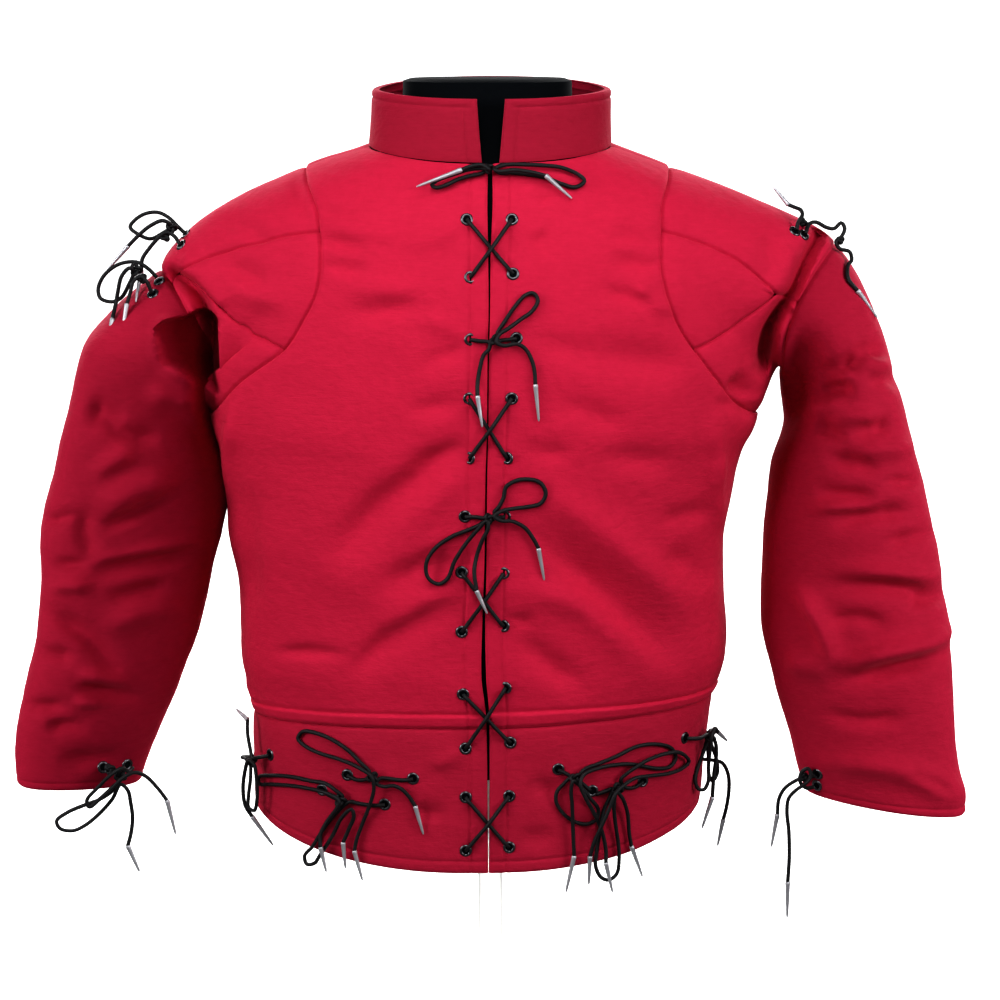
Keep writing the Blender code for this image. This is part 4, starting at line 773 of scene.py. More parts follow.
def crease_height(crease, places, fading=CREASE_FADE):
    """The height of one crease at places (x, z): height * exp(-(distance / width)^2), along its
    course and a little beyond, faded out over a share of its length at each end and swelling
    unevenly between."""
    width, height, lean, course = crease
    course = np.array(course, float)
    course = np.vstack([course[0] + CREASE_BEYOND * (course[0] - course[1]), course,
                        course[-1] + CREASE_BEYOND * (course[-1] - course[-2])])
    line = smooth_route(course, CREASE_STEP)
    result = np.zeros(len(places))
    width = width * CREASE_SPREAD
    reach = 2.6 * width
    near = np.all((places > line.min(axis=0) - reach) & (places < line.max(axis=0) + reach), axis=1)
    if not near.any():
        return result
    spots = places[near]
    away = spots[:, None, :] - line[None, :, :]
    closest = np.argmin((away ** 2).sum(axis=-1), axis=1)
    direction = unit(np.gradient(line, axis=0))[closest]
    offset = spots - line[closest]
    across = direction[:, 0] * offset[:, 1] - direction[:, 1] * offset[:, 0]
    lengthwise = (direction * offset).sum(axis=1)
    total = np.linalg.norm(np.diff(line, axis=0), axis=1).sum()
    share = (closest * total / (len(line) - 1) + lengthwise) / total
    wide = width * (1 + lean * np.tanh(across / width * 2))
    fade = ramp(0, fading, share) * ramp(0, fading, 1 - share)
    swell = 1 + CREASE_SWELL * np.sin(7.0 * share + line[0, 0] * 0.13 + line[0, 1] * 0.07)
    result[near] = height * fade * swell * np.exp(-(across / wide) ** 2)
    return result


def seen_places(points):
    """The x and z of points in mm, one row each, as the front shows them."""
    return points.reshape(-1, 3)[:, [0, 2]] / MM


def creased(creases, points, facing):
    """The summed height, in mm, of creases at points that face their side of the garment."""
    places = seen_places(points)
    total = sum((crease_height(crease, places) for crease in creases), np.zeros(len(places)))
    return total.reshape(points.shape[:-1]) * ramp(-0.1, 0.35, facing)


def hollow_depth(hollow, places):
    """How deep a hollow with straight lips is: inside its convex outline, whose corners run
    clockwise, depth + growth * (x - first corner's x), and 0 outside, with a smooth step along each
    edge."""
    depth, growth, corners = hollow
    corners = np.array(corners, float)
    result = depth + growth * np.maximum(places[:, 0] - corners[0, 0], 0)
    for start, end in zip(corners, np.roll(corners, -1, axis=0)):
        along = unit(end[:2] - start[:2])
        inside = along[1] * (places[:, 0] - start[0]) - along[0] * (places[:, 1] - start[1])
        result *= ramp(-start[2] / 2, start[2] / 2, inside)
    return result


def taken_back(points, turn, side=None):
    """How far, in mm, the armholes' folds and a sleeve's hollows take the cloth straight back from
    the front, on the front half of the turns, so that they keep their place in the picture."""
    places = seen_places(points)
    back = -sum(crease_height(crease, places, ARMHOLE_FADE) for crease in ARMHOLE_CREASES)
    if side is not None:
        back = back + sum((hollow_depth(hollow, places) for hollow in HOLLOWS[side]), 0.0)
    return back.reshape(turn.shape) * ramp(0.0, 0.04, turn) * ramp(0.5, 0.44, turn)


def touching(side, turn):
    """How much further, in mm, the sleeve's inner side bulges towards the trunk."""
    return SLEEVE_TOUCH[side] * np.exp(-((turn - 0.5) / 0.11) ** 2)


def unevenness(points):
    """The quiet unevenness of padded cloth, in mm: slow waves in four directions and finer ones."""
    x, y, z = np.moveaxis(points, -1, 0) / MM
    slow = (np.sin(0.071 * x + 0.043 * z + 0.4) + np.sin(0.052 * z - 0.083 * y + 1.9)
            + np.sin(0.037 * x - 0.091 * z + 2.7) + np.sin(0.113 * z + 0.061 * x + 0.047 * y))
    quick = np.sin(0.31 * z + 0.11 * x + 0.8) * np.sin(0.17 * x - 0.05 * z + 0.23 * y)
    return 0.22 * slow + 0.10 * quick


# Meshes

def mesh_piece(name, points, faces, finishes, face_finish=None, smooth_angle=None):
    """A mesh object at the origin, smoothly shaded, in the scene."""
    mesh = bpy.data.meshes.new(name)
    mesh.from_pydata(np.asarray(points).reshape(-1, 3).tolist(), [], [list(face) for face in faces])
    for finish in finishes:
        mesh.materials.append(finish)
    if face_finish is not None:
        mesh.polygons.foreach_set("material_index", np.asarray(face_finish, dtype=np.int32))
    mesh.shade_smooth()
    if smooth_angle is not None:
        mesh.set_sharp_from_angle(angle=math.radians(smooth_angle))
    mesh.update()
    item = bpy.data.objects.new(name, mesh)
    bpy.context.scene.collection.objects.link(item)
    return item


def grid_faces(across, down, closed=False):
    """Quads of a grid whose point (i, j) has the number i * down + j."""
    i = np.arange(across if closed else across - 1)[:, None]
    j = np.arange(down - 1)[None, :]
    nxt = (i + 1) % across
    corners = [i * down + j, nxt * down + j, nxt * down + j + 1, i * down + j + 1]
    return np.stack([np.broadcast_to(c, (len(i), down - 1)) for c in corners], axis=-1).reshape(-1, 4)


def spread(lengths, start, end, cell):
    """Distances of grid lines over each of some lengths: the given ones from either end, drawn
    together where the length is short, and even cells between."""
    lengths = np.atleast_1d(np.asarray(lengths, float))
    start, end = np.array(start, float), np.array(end, float)
    count = max(int(round((lengths.mean() - start[-1] - end[-1]) / cell)), 4)
    squeeze = np.minimum(1.0, 0.6 * lengths / (start[-1] + end[-1]))
    first, last = start[:, None] * squeeze, lengths - end[::-1, None] * squeeze
    between = np.linspace(0, 1, count + 1)[1:-1, None]
    return np.concatenate([first, first[-1] + between * (last[0] - first[-1]), last])


# Where a grid's lines lie beside a border, in mm: closer at a seam or a turned edge, and over the rows
# of topstitching along the hem, the waist seam's welt, the cuffs, the fronts and the collar's ends
SEAM_LINES = (0, 0.5, 1.1, 1.9, 3.0, 4.6, 6.8)
EDGE_LINES = (0, 0.5, 1.1, 2.0, 3.4)
HEM_LINES = EDGE_LINES + (5.5, 7, 8.2, 9, 9.8, 11, 13)
WELT_LINES = SEAM_LINES + (8.4, 9.4, 10.2, 11, 11.8, 13, 15)
CUFF_LINES = EDGE_LINES + (5, 6.2, 7, 7.8, 9, 11)
OPENING_LINES = EDGE_LINES + (6, 9, 12, 13.6, 14.6, 15.6, 16.6, 18.5, 21)
COLLAR_LINES = EDGE_LINES + (6, 9, 11, 12, 12.8, 13.6, 15, 18)
TUBE_LINES = (0.0, 1.5)
# How far the rows of topstitching run from their borders, in mm, and where the welt is stitched down
HEM_STITCH = 9.0
CUFF_STITCH = 7.0
OPENING_STITCH = 15.0
COLLAR_STITCH = 12.6
WELT_EDGE = 11.5
WELT_STITCH = 12.0
# The grids' cells, in mm
FRONT_CELL = 2.6
BACK_CELL = 3.4
SHOULDER_CELL = 2.4
SLEEVE_CELL = {"left": 2.3, "right": 2.6}
FINE_LINES = 161             # lines on which a surface is measured before its grid is laid out
LINING_ROW = 8.0             # a sleeve shows its red cloth inside above this row, and lining below


def cloth_grid(surface, rows, start, end, top, bottom, cell):
    """Parameters of a grid on a surface of (share across, row), with lines at set distances from
    its borders. Returns shares, rows and each point's distance from its four borders, in mm."""
    fine, fine_rows = np.linspace(0, 1, FINE_LINES), np.linspace(*rows, FINE_LINES)
    dense = surface(fine[:, None], fine_rows[None, :])
    steps = np.linalg.norm(np.diff(dense, axis=1), axis=-1).mean(axis=0) / MM
    down = np.concatenate([[0.0], np.cumsum(steps)])
    distances = spread(down[-1], top, bottom, cell)[:, 0]
    at = np.interp(distances, down, fine_rows)
    dense = surface(fine[:, None], at[None, :])
    steps = np.linalg.norm(np.diff(dense, axis=0), axis=-1) / MM
    across = np.concatenate([np.zeros((1, len(at))), np.cumsum(steps, axis=0)])
    wanted = spread(across[-1], start, end, cell)
    share = np.stack([np.interp(wanted[:, j], across[:, j], fine) for j in range(len(at))], axis=1)
    share[0], share[-1] = 0.0, 1.0
    return share, np.broadcast_to(at, share.shape), (
        wanted, across[-1] - wanted,
        np.broadcast_to(distances, share.shape), np.broadcast_to(down[-1] - distances, share.shape))


def dip(distance, depth, width):
    """A groove: -depth * exp(-(distance / width)^2), in mm."""
    return -depth * np.exp(-(distance / width) ** 2)


def seam_roll(distance):
    """How padded cloth dips to a seam: steeply in the last 2 mm and softly over 8 mm."""
    return dip(distance, 2.2, 1.6) + dip(distance, 1.5, 8.0)


def edge_roll(distance):
    """How a turned edge rounds over."""
    return dip(distance, 1.3, 1.1)


def stitch_groove(distance, place):
    """The groove that a row of topstitching pulls in at a distance from a border."""
    return dip(distance - place, 0.9, 1.1)


def waist_welt(distance):
    """The welt above the waist seam: raised by 1.6 mm and stitched down along its edge."""
    return 1.6 * ramp(WELT_EDGE, WELT_EDGE - 2, distance) + dip(distance - WELT_STITCH, 1.2, 1.5)


def shell(name, points, normals, height, finishes, thickness, closed=False, back=None,
          lined=None):
    """A closed shell: the surface moved out by its height and the same moved in by the thickness,
    joined all round its borders. Its inner faces take the second finish. Where the surface is taken
    back, so is the inner one, straight behind it."""
    outer = points + normals * (height * MM)[..., None]
    inward = normals
    if back is not None:
        outer = outer + back[..., None] * np.array([0.0, MM, 0.0])
        behind = ramp(0.0, 4.0, back)[..., None]
        inward = unit(normals * (1 - behind) + np.array([0.0, -1.0, 0.0]) * behind)
    inner = outer - inward * thickness
    across, down = points.shape[:2]
    count = across * down
    faces = grid_faces(across, down, closed)
    inside = faces[:, ::-1] + count
    i = np.arange(across if closed else across - 1) * down
    nxt = (i + down) % count if closed else i + down
    top = np.stack([nxt, i, i + count, nxt + count], axis=-1)
    low = np.stack([i, nxt, nxt + count, i + count], axis=-1) + down - 1
    borders = [top, low]
    if not closed:
        j = np.arange(down - 1)
        borders.append(np.stack([j, j + 1, j + 1 + count, j + count], axis=-1))
        last = j + (across - 1) * down
        borders.append(np.stack([last + 1, last, last + count, last + 1 + count], axis=-1))
    everything = np.concatenate([faces, inside] + borders)
    vertices = np.concatenate([outer.reshape(-1, 3), inner.reshape(-1, 3)])
    corner = vertices[faces[len(faces) // 2]]
    facing = np.dot(np.cross(corner[1] - corner[0], corner[3] - corner[0]),
                    normals.reshape(-1, 3)[faces[len(faces) // 2][0]])
    if facing < 0:
        everything = everything[:, ::-1]
    finish = np.zeros(len(everything), dtype=np.int32)
    finish[len(faces):2 * len(faces)] = 1 if lined is None else lined.reshape(-1)[faces[:, 0]]
    return mesh_piece(name, vertices, everything, finishes, finish, 60)


# Materials

class Wire:
    """One value of a material's nodes, used in arithmetic as a number would be."""

    def __init__(self, finish, socket):
        self.finish, self.socket = finish, socket

    def maths(self, operation, *values):
        return self.finish.node("ShaderNodeMath", {"operation": operation}, dict(enumerate(values)))

    def __add__(self, other):
        return self.maths("ADD", self, other)

    def __radd__(self, other):
        return self.maths("ADD", other, self)

    def __sub__(self, other):
        return self.maths("SUBTRACT", self, other)

    def __rsub__(self, other):
        return self.maths("SUBTRACT", other, self)

    def __mul__(self, other):
        return self.maths("MULTIPLY", self, other)

    def __rmul__(self, other):
        return self.maths("MULTIPLY", other, self)


class Finish:
    """A material being made, with its Principled shader."""

    def __init__(self, name):
        self.material = bpy.data.materials.new(name)
        self.material.use_nodes = True
        self.tree = self.material.node_tree
        self.shader = self.tree.nodes["Principled BSDF"]

    def node(self, kind, settings=None, values=None, output=0):
        """Adds a node: its settings first, then its inputs' values or links. Returns an output."""
        made = self.tree.nodes.new(kind)
        for key, value in (settings or {}).items():
            setattr(made, key, value)
        for key, value in (values or {}).items():
            self.feed(made.inputs[key], value)
        return Wire(self, made.outputs[output])

    def feed(self, socket, value):
        if isinstance(value, Wire):
            self.tree.links.new(value.socket, socket)
        else:
            socket.default_value = value

    def set(self, **values):
        """Feeds the shader's inputs, named with _ for a space."""
        for key, value in values.items():
            self.feed(self.shader.inputs[key.replace("_", " ")], value)

    def mix(self, factor, first, second):
        return self.node("ShaderNodeMix", {"data_type": "RGBA"}, {0: factor, 6: first, 7: second}, 2)

    def place(self, stretch=(1, 1, 1)):
        """The object's coordinates, stretched."""
        where = self.node("ShaderNodeTexCoord", output="Object")
        return self.node("ShaderNodeVectorMath", {"operation": "MULTIPLY"}, {0: where, 1: stretch})

    def noise(self, scale, stretch=(1, 1, 1), detail=2.0, rough=0.5):
        return self.node("ShaderNodeTexNoise", None,
                         {"Vector": self.place(stretch), "Scale": scale, "Detail": detail,
                          "Roughness": rough})

    def bump(self, height, distance, strength=1.0):
        return self.node("ShaderNodeBump", None,
                         {"Height": height, "Distance": distance, "Strength": strength})


def colour(red, green, blue):
    """A picture's colour, 0 to 255, as the linear colour that a shader takes."""
    def linear(value):
        value = value / 255
        return value / 12.92 if value <= 0.04045 else ((value + 0.055) / 1.055) ** 2.4
    return (linear(red), linear(green), linear(blue), 1.0)


def red_canvas(name, depth=1.0):
    """Matte crimson cotton canvas: a fine weave with slubs that run across it, faintly blotched. The
    depth darkens it all over; the skirt's and the collar's darker copies use it as painted shade."""
    finish = Finish(name)
    slubs = finish.noise(1.0, (70, 70, 1000), 2.0)
    mottle = finish.noise(1.0, (110, 110, 190), 3.0, 0.6)
    weave = finish.noise(1.0, (1500, 1500, 2100), 1.0)
    shade = slubs * 0.35 + mottle * 0.65
    # depth below 1 darkens the whole colour: painted shade where a copy is made for a piece that stands
    # in shadow
    light, dark = [[value * depth for value in tint[:3]] + [1.0]
                   for tint in (colour(192, 36, 73), colour(174, 27, 62))]
    finish.set(Base_Color=finish.mix((shade - 0.5) * 1.4 + 0.5, dark, light), Roughness=0.84,
               Sheen_Weight=0.22, Sheen_Roughness=0.4, Specular_IOR_Level=0.25)
    finish.shader.inputs["Sheen Tint"].default_value = colour(255, 120, 140)
    finish.set(Normal=finish.bump(mottle * 0.75 + slubs * 0.15 + weave * 0.1, 0.0022, 0.5))
    return finish.material


def natural_lining(name):
    """The undyed cotton that lines the cloth."""
    finish = Finish(name)
    threads = finish.noise(1.0, (700, 700, 900), 2.0)
    finish.set(Base_Color=finish.mix(threads, colour(176, 160, 140), colour(205, 192, 176)),
               Roughness=0.9, Normal=finish.bump(threads, 0.0004, 0.4))
    return finish.material


def black_jersey(name):
    """The form's black, faintly blue stretch cover."""
    finish = Finish(name)
    knit = finish.noise(1.0, (900, 900, 1400), 1.0)
    finish.set(Base_Color=finish.mix(knit, colour(1, 4, 8), colour(4, 10, 16)), Roughness=0.85,
               Specular_IOR_Level=0.15, Normal=finish.bump(knit, 0.0004, 0.4))
    return finish.material


def black_braid(name):
    """Black braided lace, a little shiny where its threads turn."""
    finish = Finish(name)
    threads = finish.noise(1.0, (1300, 1300, 1300), 1.0)
    finish.set(Base_Color=finish.mix(threads, colour(5, 5, 8), colour(20, 21, 25)), Roughness=0.65,
               Normal=finish.bump(threads, 0.0003, 0.5))
    return finish.material


def metal(name, shade, roughness, metallic=1.0):
    """A plain metal with faint wear in its gloss."""
    finish = Finish(name)
    wear = finish.noise(1.0, (400, 400, 400), 2.0)
    finish.set(Base_Color=shade, Metallic=metallic, Roughness=wear * 0.2 + (roughness - 0.1))
    return finish.material


def white_paint(name):
    """Satin white paint."""
    finish = Finish(name)
    mottle = finish.noise(60.0)
    finish.set(Base_Color=colour(232, 232, 230), Roughness=mottle * 0.1 + 0.3)
    return finish.material


def white_room(name):
    """The room's white floor and wall, which shine by themselves so that they are even."""
    finish = Finish(name)
    finish.set(Base_Color=(0.5, 0.5, 0.5, 1.0), Roughness=0.9,
               Emission_Color=(1.0, 1.0, 1.0, 1.0), Emission_Strength=1.0)
    return finish.material


# Camera

def aimed(item, place, aim):
    """Puts an object in its place, its -Z towards the aim."""
    item.location = place
    item.rotation_mode = "QUATERNION"
    item.rotation_quaternion = (Vector(aim) - Vector(place)).to_track_quat("-Z", "Y")
    bpy.context.scene.collection.objects.link(item)


def make_camera():
    """The picture's view: 1 m high, 2.6 m before the doublet, looking a little down."""
    data = bpy.data.cameras.new("camera")
    data.lens, data.sensor_width = LENS, SENSOR
    item = bpy.data.objects.new("camera", data)
    aimed(item, CAMERA_PLACE, CAMERA_AIM)
    bpy.context.scene.camera = item


# Cloth pieces

def bent(lift, at):
    """Rows moved up by the waist seam's lift: all of it on the seam, and none at the hem or from
    some rows above the seam on."""
    return at - lift * (ramp(ROW["waist"] - WAIST_REACH, ROW["waist"], at)
                        * ramp(ROW["hem"], ROW["waist"], at))


def front_place(side, share, at):
    """The angle and row on the trunk of a front's point, a share of the way from the opening."""
    at = bent(WAIST_LIFT[side] * share ** 1.2, at)
    return front_span(side, share, at), at


def back_place(share, at):
    """The same for the back, from its right side to its left, where it meets the fronts' seam."""
    at = bent(WAIST_LIFT["right"] * (1 - share) ** 3 + WAIST_LIFT["left"] * share ** 3, at)
    return back_span(share, at), at


def trunk_height(points, normals, rolls):
    """The height of the trunk's cloth over its solid's surface."""
    return (creased(TRUNK_CREASES, points, -normals[..., 1]) * CREASE_DEPTH["trunk"]
            + creased(BACK_CREASES, points, normals[..., 1]) + unevenness(points) + rolls)


def trunk_piece(name, place, skirt, first_lines, cell, side_rolls, finishes):
    """One piece of the trunk, from the neck to the waist seam, or from there to the hem: place gives
    the angle and row of its points, and side_rolls how its cloth rolls at its two sides."""
    rows = (ROW["waist"], ROW["hem"]) if skirt else (ROW["neck"], ROW["waist"])
    share, at, (first, second, top, low) = cloth_grid(
        lambda u, v: body(*place(u, v)), rows, first_lines, SEAM_LINES, SEAM_LINES,
        HEM_LINES if skirt else WELT_LINES, cell)
    angle, at = place(share, at)
    points, normals = body(angle, at), body_normals(angle, at)
    rolls = side_rolls(first, second)
    if skirt:
        rolls += seam_roll(top) + edge_roll(low) + stitch_groove(low, HEM_STITCH)
    else:
        rolls += dip(top, 0.8, 3.0) + seam_roll(low) + waist_welt(low)
    return shell(name + "_cloth", points, normals, trunk_height(points, normals, rolls), finishes,
                 CLOTH)


def opening_rolls(opening, seam):
    """How a front's cloth rolls at its stitched edge and its side seam."""
    return edge_roll(opening) + stitch_groove(opening, OPENING_STITCH) + seam_roll(seam)


def seam_rolls(right, left):
    """How the back's cloth rolls at its two side seams."""
    return seam_roll(right) + seam_roll(left)


def make_fronts(finishes, skirt_finishes):
    """The two fronts and the two skirt pieces below them."""
    for side in SIDES:
        for name, skirt in (("front_" + side, False), ("waist_front_" + side, True)):
            yield trunk_piece(name, lambda u, v: front_place(side, u, v), skirt, OPENING_LINES,
                              FRONT_CELL, opening_rolls, skirt_finishes if skirt else finishes), name


def make_backs(finishes, skirt_finishes):
    """The back and the skirt piece below it."""
    for name, skirt in (("back", False), ("waist_back", True)):
        yield trunk_piece(name, back_place, skirt, SEAM_LINES, BACK_CELL, seam_rolls,
                          skirt_finishes if skirt else finishes), name


def collar_angle(share, at):
    """The collar's angle at a share of the way round from its left to its right front edge."""
    start = angle_at_x(smooth(COLLAR["edge_left"], at), at, COLLAR)
    end = 2 * np.pi + angle_at_x(smooth(COLLAR["edge_right"], at), at, COLLAR)
    return start + share * (end - start)


def make_collar(finishes):
    """The stand collar with its two rows of topstitching."""
    last = len(COLLAR_ROWS) - 1.0
    share, at, (left, right, low, top) = cloth_grid(
        lambda u, v: collar(collar_angle(u, v), v), (0.0, last), COLLAR_LINES, COLLAR_LINES,
        SEAM_LINES, CUFF_LINES, FRONT_CELL)
    angle = collar_angle(share, at)
    points = collar(angle, at)
    normals = -normals_of(collar, angle, np.clip(at, 0.02, last - 0.02), 0.01)
    inside, below = ramp(5, 9, left) * ramp(5, 9, right), ramp(5, 9, top)
    rolls = (edge_roll(left) + edge_roll(right) + edge_roll(top) + dip(low, 0.5, 1.5)
             + stitch_groove(top, CUFF_STITCH) * inside
             + (stitch_groove(left, COLLAR_STITCH) + stitch_groove(right, COLLAR_STITCH)) * below)
    item = shell("collar_cloth", points, normals, creased(TRUNK_CREASES, points, -normals[..., 1])
                 + unevenness(points) * 0.7 + rolls, finishes, COLLAR_CLOTH)
    yield item, "collar"


def shoulder_turn(side, piece, share, out):
    """The turn round the armhole, 0 to 1, of a shoulder piece at a share of its width."""
    upper, lower = gusset_edges(side, out)
    start, end = {"gusset_": (upper, lower), "shoulder_top_": (BACK_SEAM_TURN - 1, upper),
                  "underarm_": (lower, BACK_SEAM_TURN)}[piece]
    turn = start + share * (end - start)
    return np.where(turn < 0, turn + 1, turn)


def make_shoulders(finishes):
    """The gusset, the piece over the shoulder and the piece under the arm, on each side."""
    for side in SIDES:
        reach = GUSSET_REACH[side]
        for piece in ("gusset_", "shoulder_top_", "underarm_"):
            last = reach * 0.985 if piece == "gusset_" else 1.0
            share, out, (first, second, inner, outer) = cloth_grid(
                lambda u, v: shoulder(side, shoulder_turn(side, piece, u, v), v), (0.0, last),
                SEAM_LINES, SEAM_LINES, SEAM_LINES, SEAM_LINES, SHOULDER_CELL)
            turn = shoulder_turn(side, piece, share, out)
            points, normals = shoulder(side, turn, out), shoulder_normals(side, turn, out)
            near = ramp(0.8, 1.0, out)[..., None]
            normals = unit(normals * (1 - near) + seam_normals(side, turn) * near)
            rolls = seam_roll(first) + seam_roll(second) + seam_roll(inner)
            if piece != "gusset_":
                rolls += seam_roll(outer)
            height = trunk_height(points, normals, rolls) + touching(side, turn) * ramp(0, 0.5, out)
            item = shell(piece + side + "_cloth", points, normals, height, finishes, CLOTH,
                         back=taken_back(points, turn, side) * ramp(0.0, 0.25, out))
            yield item, piece + side


def make_sleeves(finishes):
    """The two sleeves with their stitched cuffs, lined from the forearm down."""
    for side in SIDES:
        last = len(SLEEVE_ROWS[side]) - 1.0
        share, at, (_, _, top, low) = cloth_grid(
            lambda u, v: sleeve(side, u, v), (0.0, last), TUBE_LINES, TUBE_LINES, SEAM_LINES,
            CUFF_LINES, SLEEVE_CELL[side])
        share, at, top, low = share[:-1], at[:-1], top[:-1], low[:-1]
        points, normals = sleeve(side, share, at), sleeve_normals(side, share, at)
        near = ramp(0.6, 0.0, at)[..., None]
        normals = unit(normals * (1 - near) + seam_normals(side, share) * near)
        facing = -normals[..., 1]
        against_trunk = touching(side, share) * ramp(5.2, 3.6, at)
        creases = creased(SLEEVE_CREASES[side], points, facing) * CREASE_DEPTH["sleeve"]
        height = (creases * ramp(0, 14, top) + against_trunk + creased(BACK_CREASES, points, -facing)
                  + unevenness(points) + seam_roll(top) + edge_roll(low)
                  + stitch_groove(low, CUFF_STITCH))
        item = shell("sleeve_" + side + "_cloth", points, normals, height, finishes, CLOTH,
                     closed=True, back=taken_back(points, share, side), lined=at > LINING_ROW)
        yield item, "sleeve_" + side


# Laces and their fittings

def carried(path, radii, around, relief=0.0):
    """A tube: circles of the given radii carried along a path without twist, closed at both ends. Its
    radius swells by relief * cos(3 turn + s) * cos(3 turn - s), as a braid's, where s grows by 2 pi
    with each pitch."""
    path = np.asarray(path, float)
    tangent = unit(np.gradient(path, axis=0))
    side = np.empty_like(path)
    side[0] = unit(np.cross(tangent[0], (0.2, -0.9, 0.4)))
    for k in range(1, len(path)):
        side[k] = unit(side[k - 1] - np.dot(side[k - 1], tangent[k]) * tangent[k])
    other = np.cross(tangent, side)
    turn = np.linspace(0, 2 * np.pi, around, endpoint=False)[:, None]
    length = np.concatenate([[0.0], np.cumsum(np.linalg.norm(np.diff(path, axis=0), axis=1))])
    along = length / BRAID_PITCH * 2 * np.pi
    swell = 1 + relief * np.cos(3 * turn + along) * np.cos(3 * turn - along)
    radius = np.asarray(radii) * swell
    points = (path[None] + radius[..., None] * (np.cos(turn)[..., None] * side[None]
                                                + np.sin(turn)[..., None] * other[None]))
    down = len(path)
    faces = [tuple(face) for face in grid_faces(around, down, closed=True)[:, ::-1]]
    faces.append(tuple(i * down for i in range(around)))
    faces.append(tuple(i * down + down - 1 for i in reversed(range(around))))
    return points.reshape(-1, 3), faces


def seated(path, cloth, clearance):
    """A path kept at least a clearance before the creased cloth, wherever the cloth is close behind
    it seen from the front: the correction is the largest within reach, smoothed along the path."""
    push = np.zeros(len(path))
    for k, place in enumerate(path):
        spot, normal, _, _ = cloth.ray_cast(Vector((place[0], VIEWER_Y, place[2])), Vector((0, 1, 0)))
        if spot is not None and normal.y < -0.25:
            needed = place[1] - (spot.y - clearance / max(-normal.y, 0.5))
            push[k] = needed if 0 < needed < SUNK_AT_MOST else 0.0
    around = np.arange(len(push))[:, None] + np.arange(2 * SEAT_REACH + 1)[None, :]
    widest = np.pad(push, SEAT_REACH, mode="edge")[around].max(axis=1)
    kernel = np.hanning(2 * SEAT_REACH + 3)[1:-1]
    soft = np.convolve(np.pad(widest, SEAT_REACH, mode="edge"), kernel / kernel.sum(), mode="valid")
    moved = path.copy()
    moved[:, 1] -= soft
    return moved


def make_lace(name, route, cloth, braid, silver):
    """One lace from its eyelet to its aglet: the lace is a free cord, the aglet a tapering tube."""
    path = seated(smooth_route(route[:-1], LACE_STEP), cloth, LACE_CLEARANCE)
    points, faces = carried(path, np.full(len(path), CORD / 2), LACE_SIDES, BRAID_RELIEF)
    item = mesh_piece("lace_" + name + "_braid", points, faces, [braid])
    top, tip = path[-1], route[-1]
    points, faces = carried(top + AGLET_ALONG[:, None] * (tip - top), AGLET_WIDTH * CORD / 2,
                            LACE_SIDES)
    aglet = mesh_piece("lace_" + name + "_aglet", points, faces, [silver], smooth_angle=40)
    for piece in (item, aglet):
        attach(piece, "root")
    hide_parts("lace_" + name)
    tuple(path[0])


def make_laces(cloth, braid, silver):
    """The bows' free laces and the crosses that hold the opening."""
    for name, route in FRONT_LACES.items():
        make_lace(name, front_point(*np.array(route, float).T), cloth, braid, silver)
    for name, route in SIDE_LACES.items():
        x, z, y = np.array(route, float).T
        make_lace(name, np.stack([x, y, z], axis=-1) * MM, cloth, braid, silver)
    share = np.linspace(0, 1, 45)
    for name, (upper_left, upper_right, lower_left, lower_right) in CROSSES.items():
        for label, start, end, rise in (("_under", upper_left, lower_right, 0.0),
                                        ("_over", upper_right, lower_left, CROSS_OVER)):
            x = start[0] + share * (end[0] - start[0])
            z = start[1] + share * (end[1] - start[1])
            over = ramp(0.1, 0.5, share) * ramp(0.9, 0.5, share)
            sunk = -CROSS_DIVE * (ramp(0.09, 0.0, share) + ramp(0.91, 1.0, share))
            path = front_point(x, z, CROSS_LIFT + rise * over + sunk)
            points, faces = carried(path, np.full(len(path), CORD / 2), LACE_SIDES, BRAID_RELIEF)
            item = mesh_piece("lace_" + name + label + "_braid", points, faces, [braid])
            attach(item, "root")
            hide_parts("lace_" + name + label)


def knot_path(size):
    """A trefoil: x = sin t + 2 sin 2t, y = cos t - 2 cos 2t, z = -sin 3t, scaled to a size."""
    t = np.linspace(0, 2 * np.pi, 60, endpoint=False)
    curve = np.stack([np.sin(t) + 2 * np.sin(2 * t), 0.9 * np.sin(3 * t),
                      np.cos(t) - 2 * np.cos(2 * t)], axis=-1)
    return curve * size / 6.4


def make_knots(braid):
    """The bows' knots, each a trefoil drawn tight."""
    x, z, lift, front_size = np.array(FRONT_KNOTS, float).T
    side = np.array(SIDE_KNOTS, float)
    centres = np.concatenate([front_point(x, z, lift), side[:, [0, 2, 1]] * MM])
    sizes = np.concatenate([front_size, side[:, 3]]) * MM
    everything, faces, count = [], [], 0
    for k, (centre, size) in enumerate(zip(centres, sizes)):
        turn = KNOT_TURN * k
        path = knot_path(size - CORD)
        path = np.stack([path[:, 0] * np.cos(turn) - path[:, 2] * np.sin(turn), path[:, 1],
                         path[:, 0] * np.sin(turn) + path[:, 2] * np.cos(turn)], axis=-1)
        closed = np.vstack([path, path[:2]])
        points, found = carried(centre + closed, np.full(len(closed), CORD * 0.46), 10, 0.06)
        everything.append(points)
        faces += [tuple(count + i for i in face) for face in found]
        count += len(points)
    item = mesh_piece("knots", np.concatenate(everything), faces, [braid])
    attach(item, "root")


def eyelet_places(cloth):
    """Where each eyelet sits on the creased cloth, and the cloth's normal there."""
    front = [corner for corners in CROSSES.values() for corner in corners] + list(FRONT_EYELETS)
    found = [cloth.ray_cast(Vector((x * MM, VIEWER_Y, z * MM)), Vector((0, 1, 0)))[:2]
             for x, z in front]
    found += [cloth.find_nearest(Vector((x * MM, y * MM, z * MM)))[:2] for x, z, y in SIDE_EYELETS]
    places = np.array([list(spot) for spot, _ in found])
    normals = np.array([list(normal) for _, normal in found])
    return places, unit(normals)


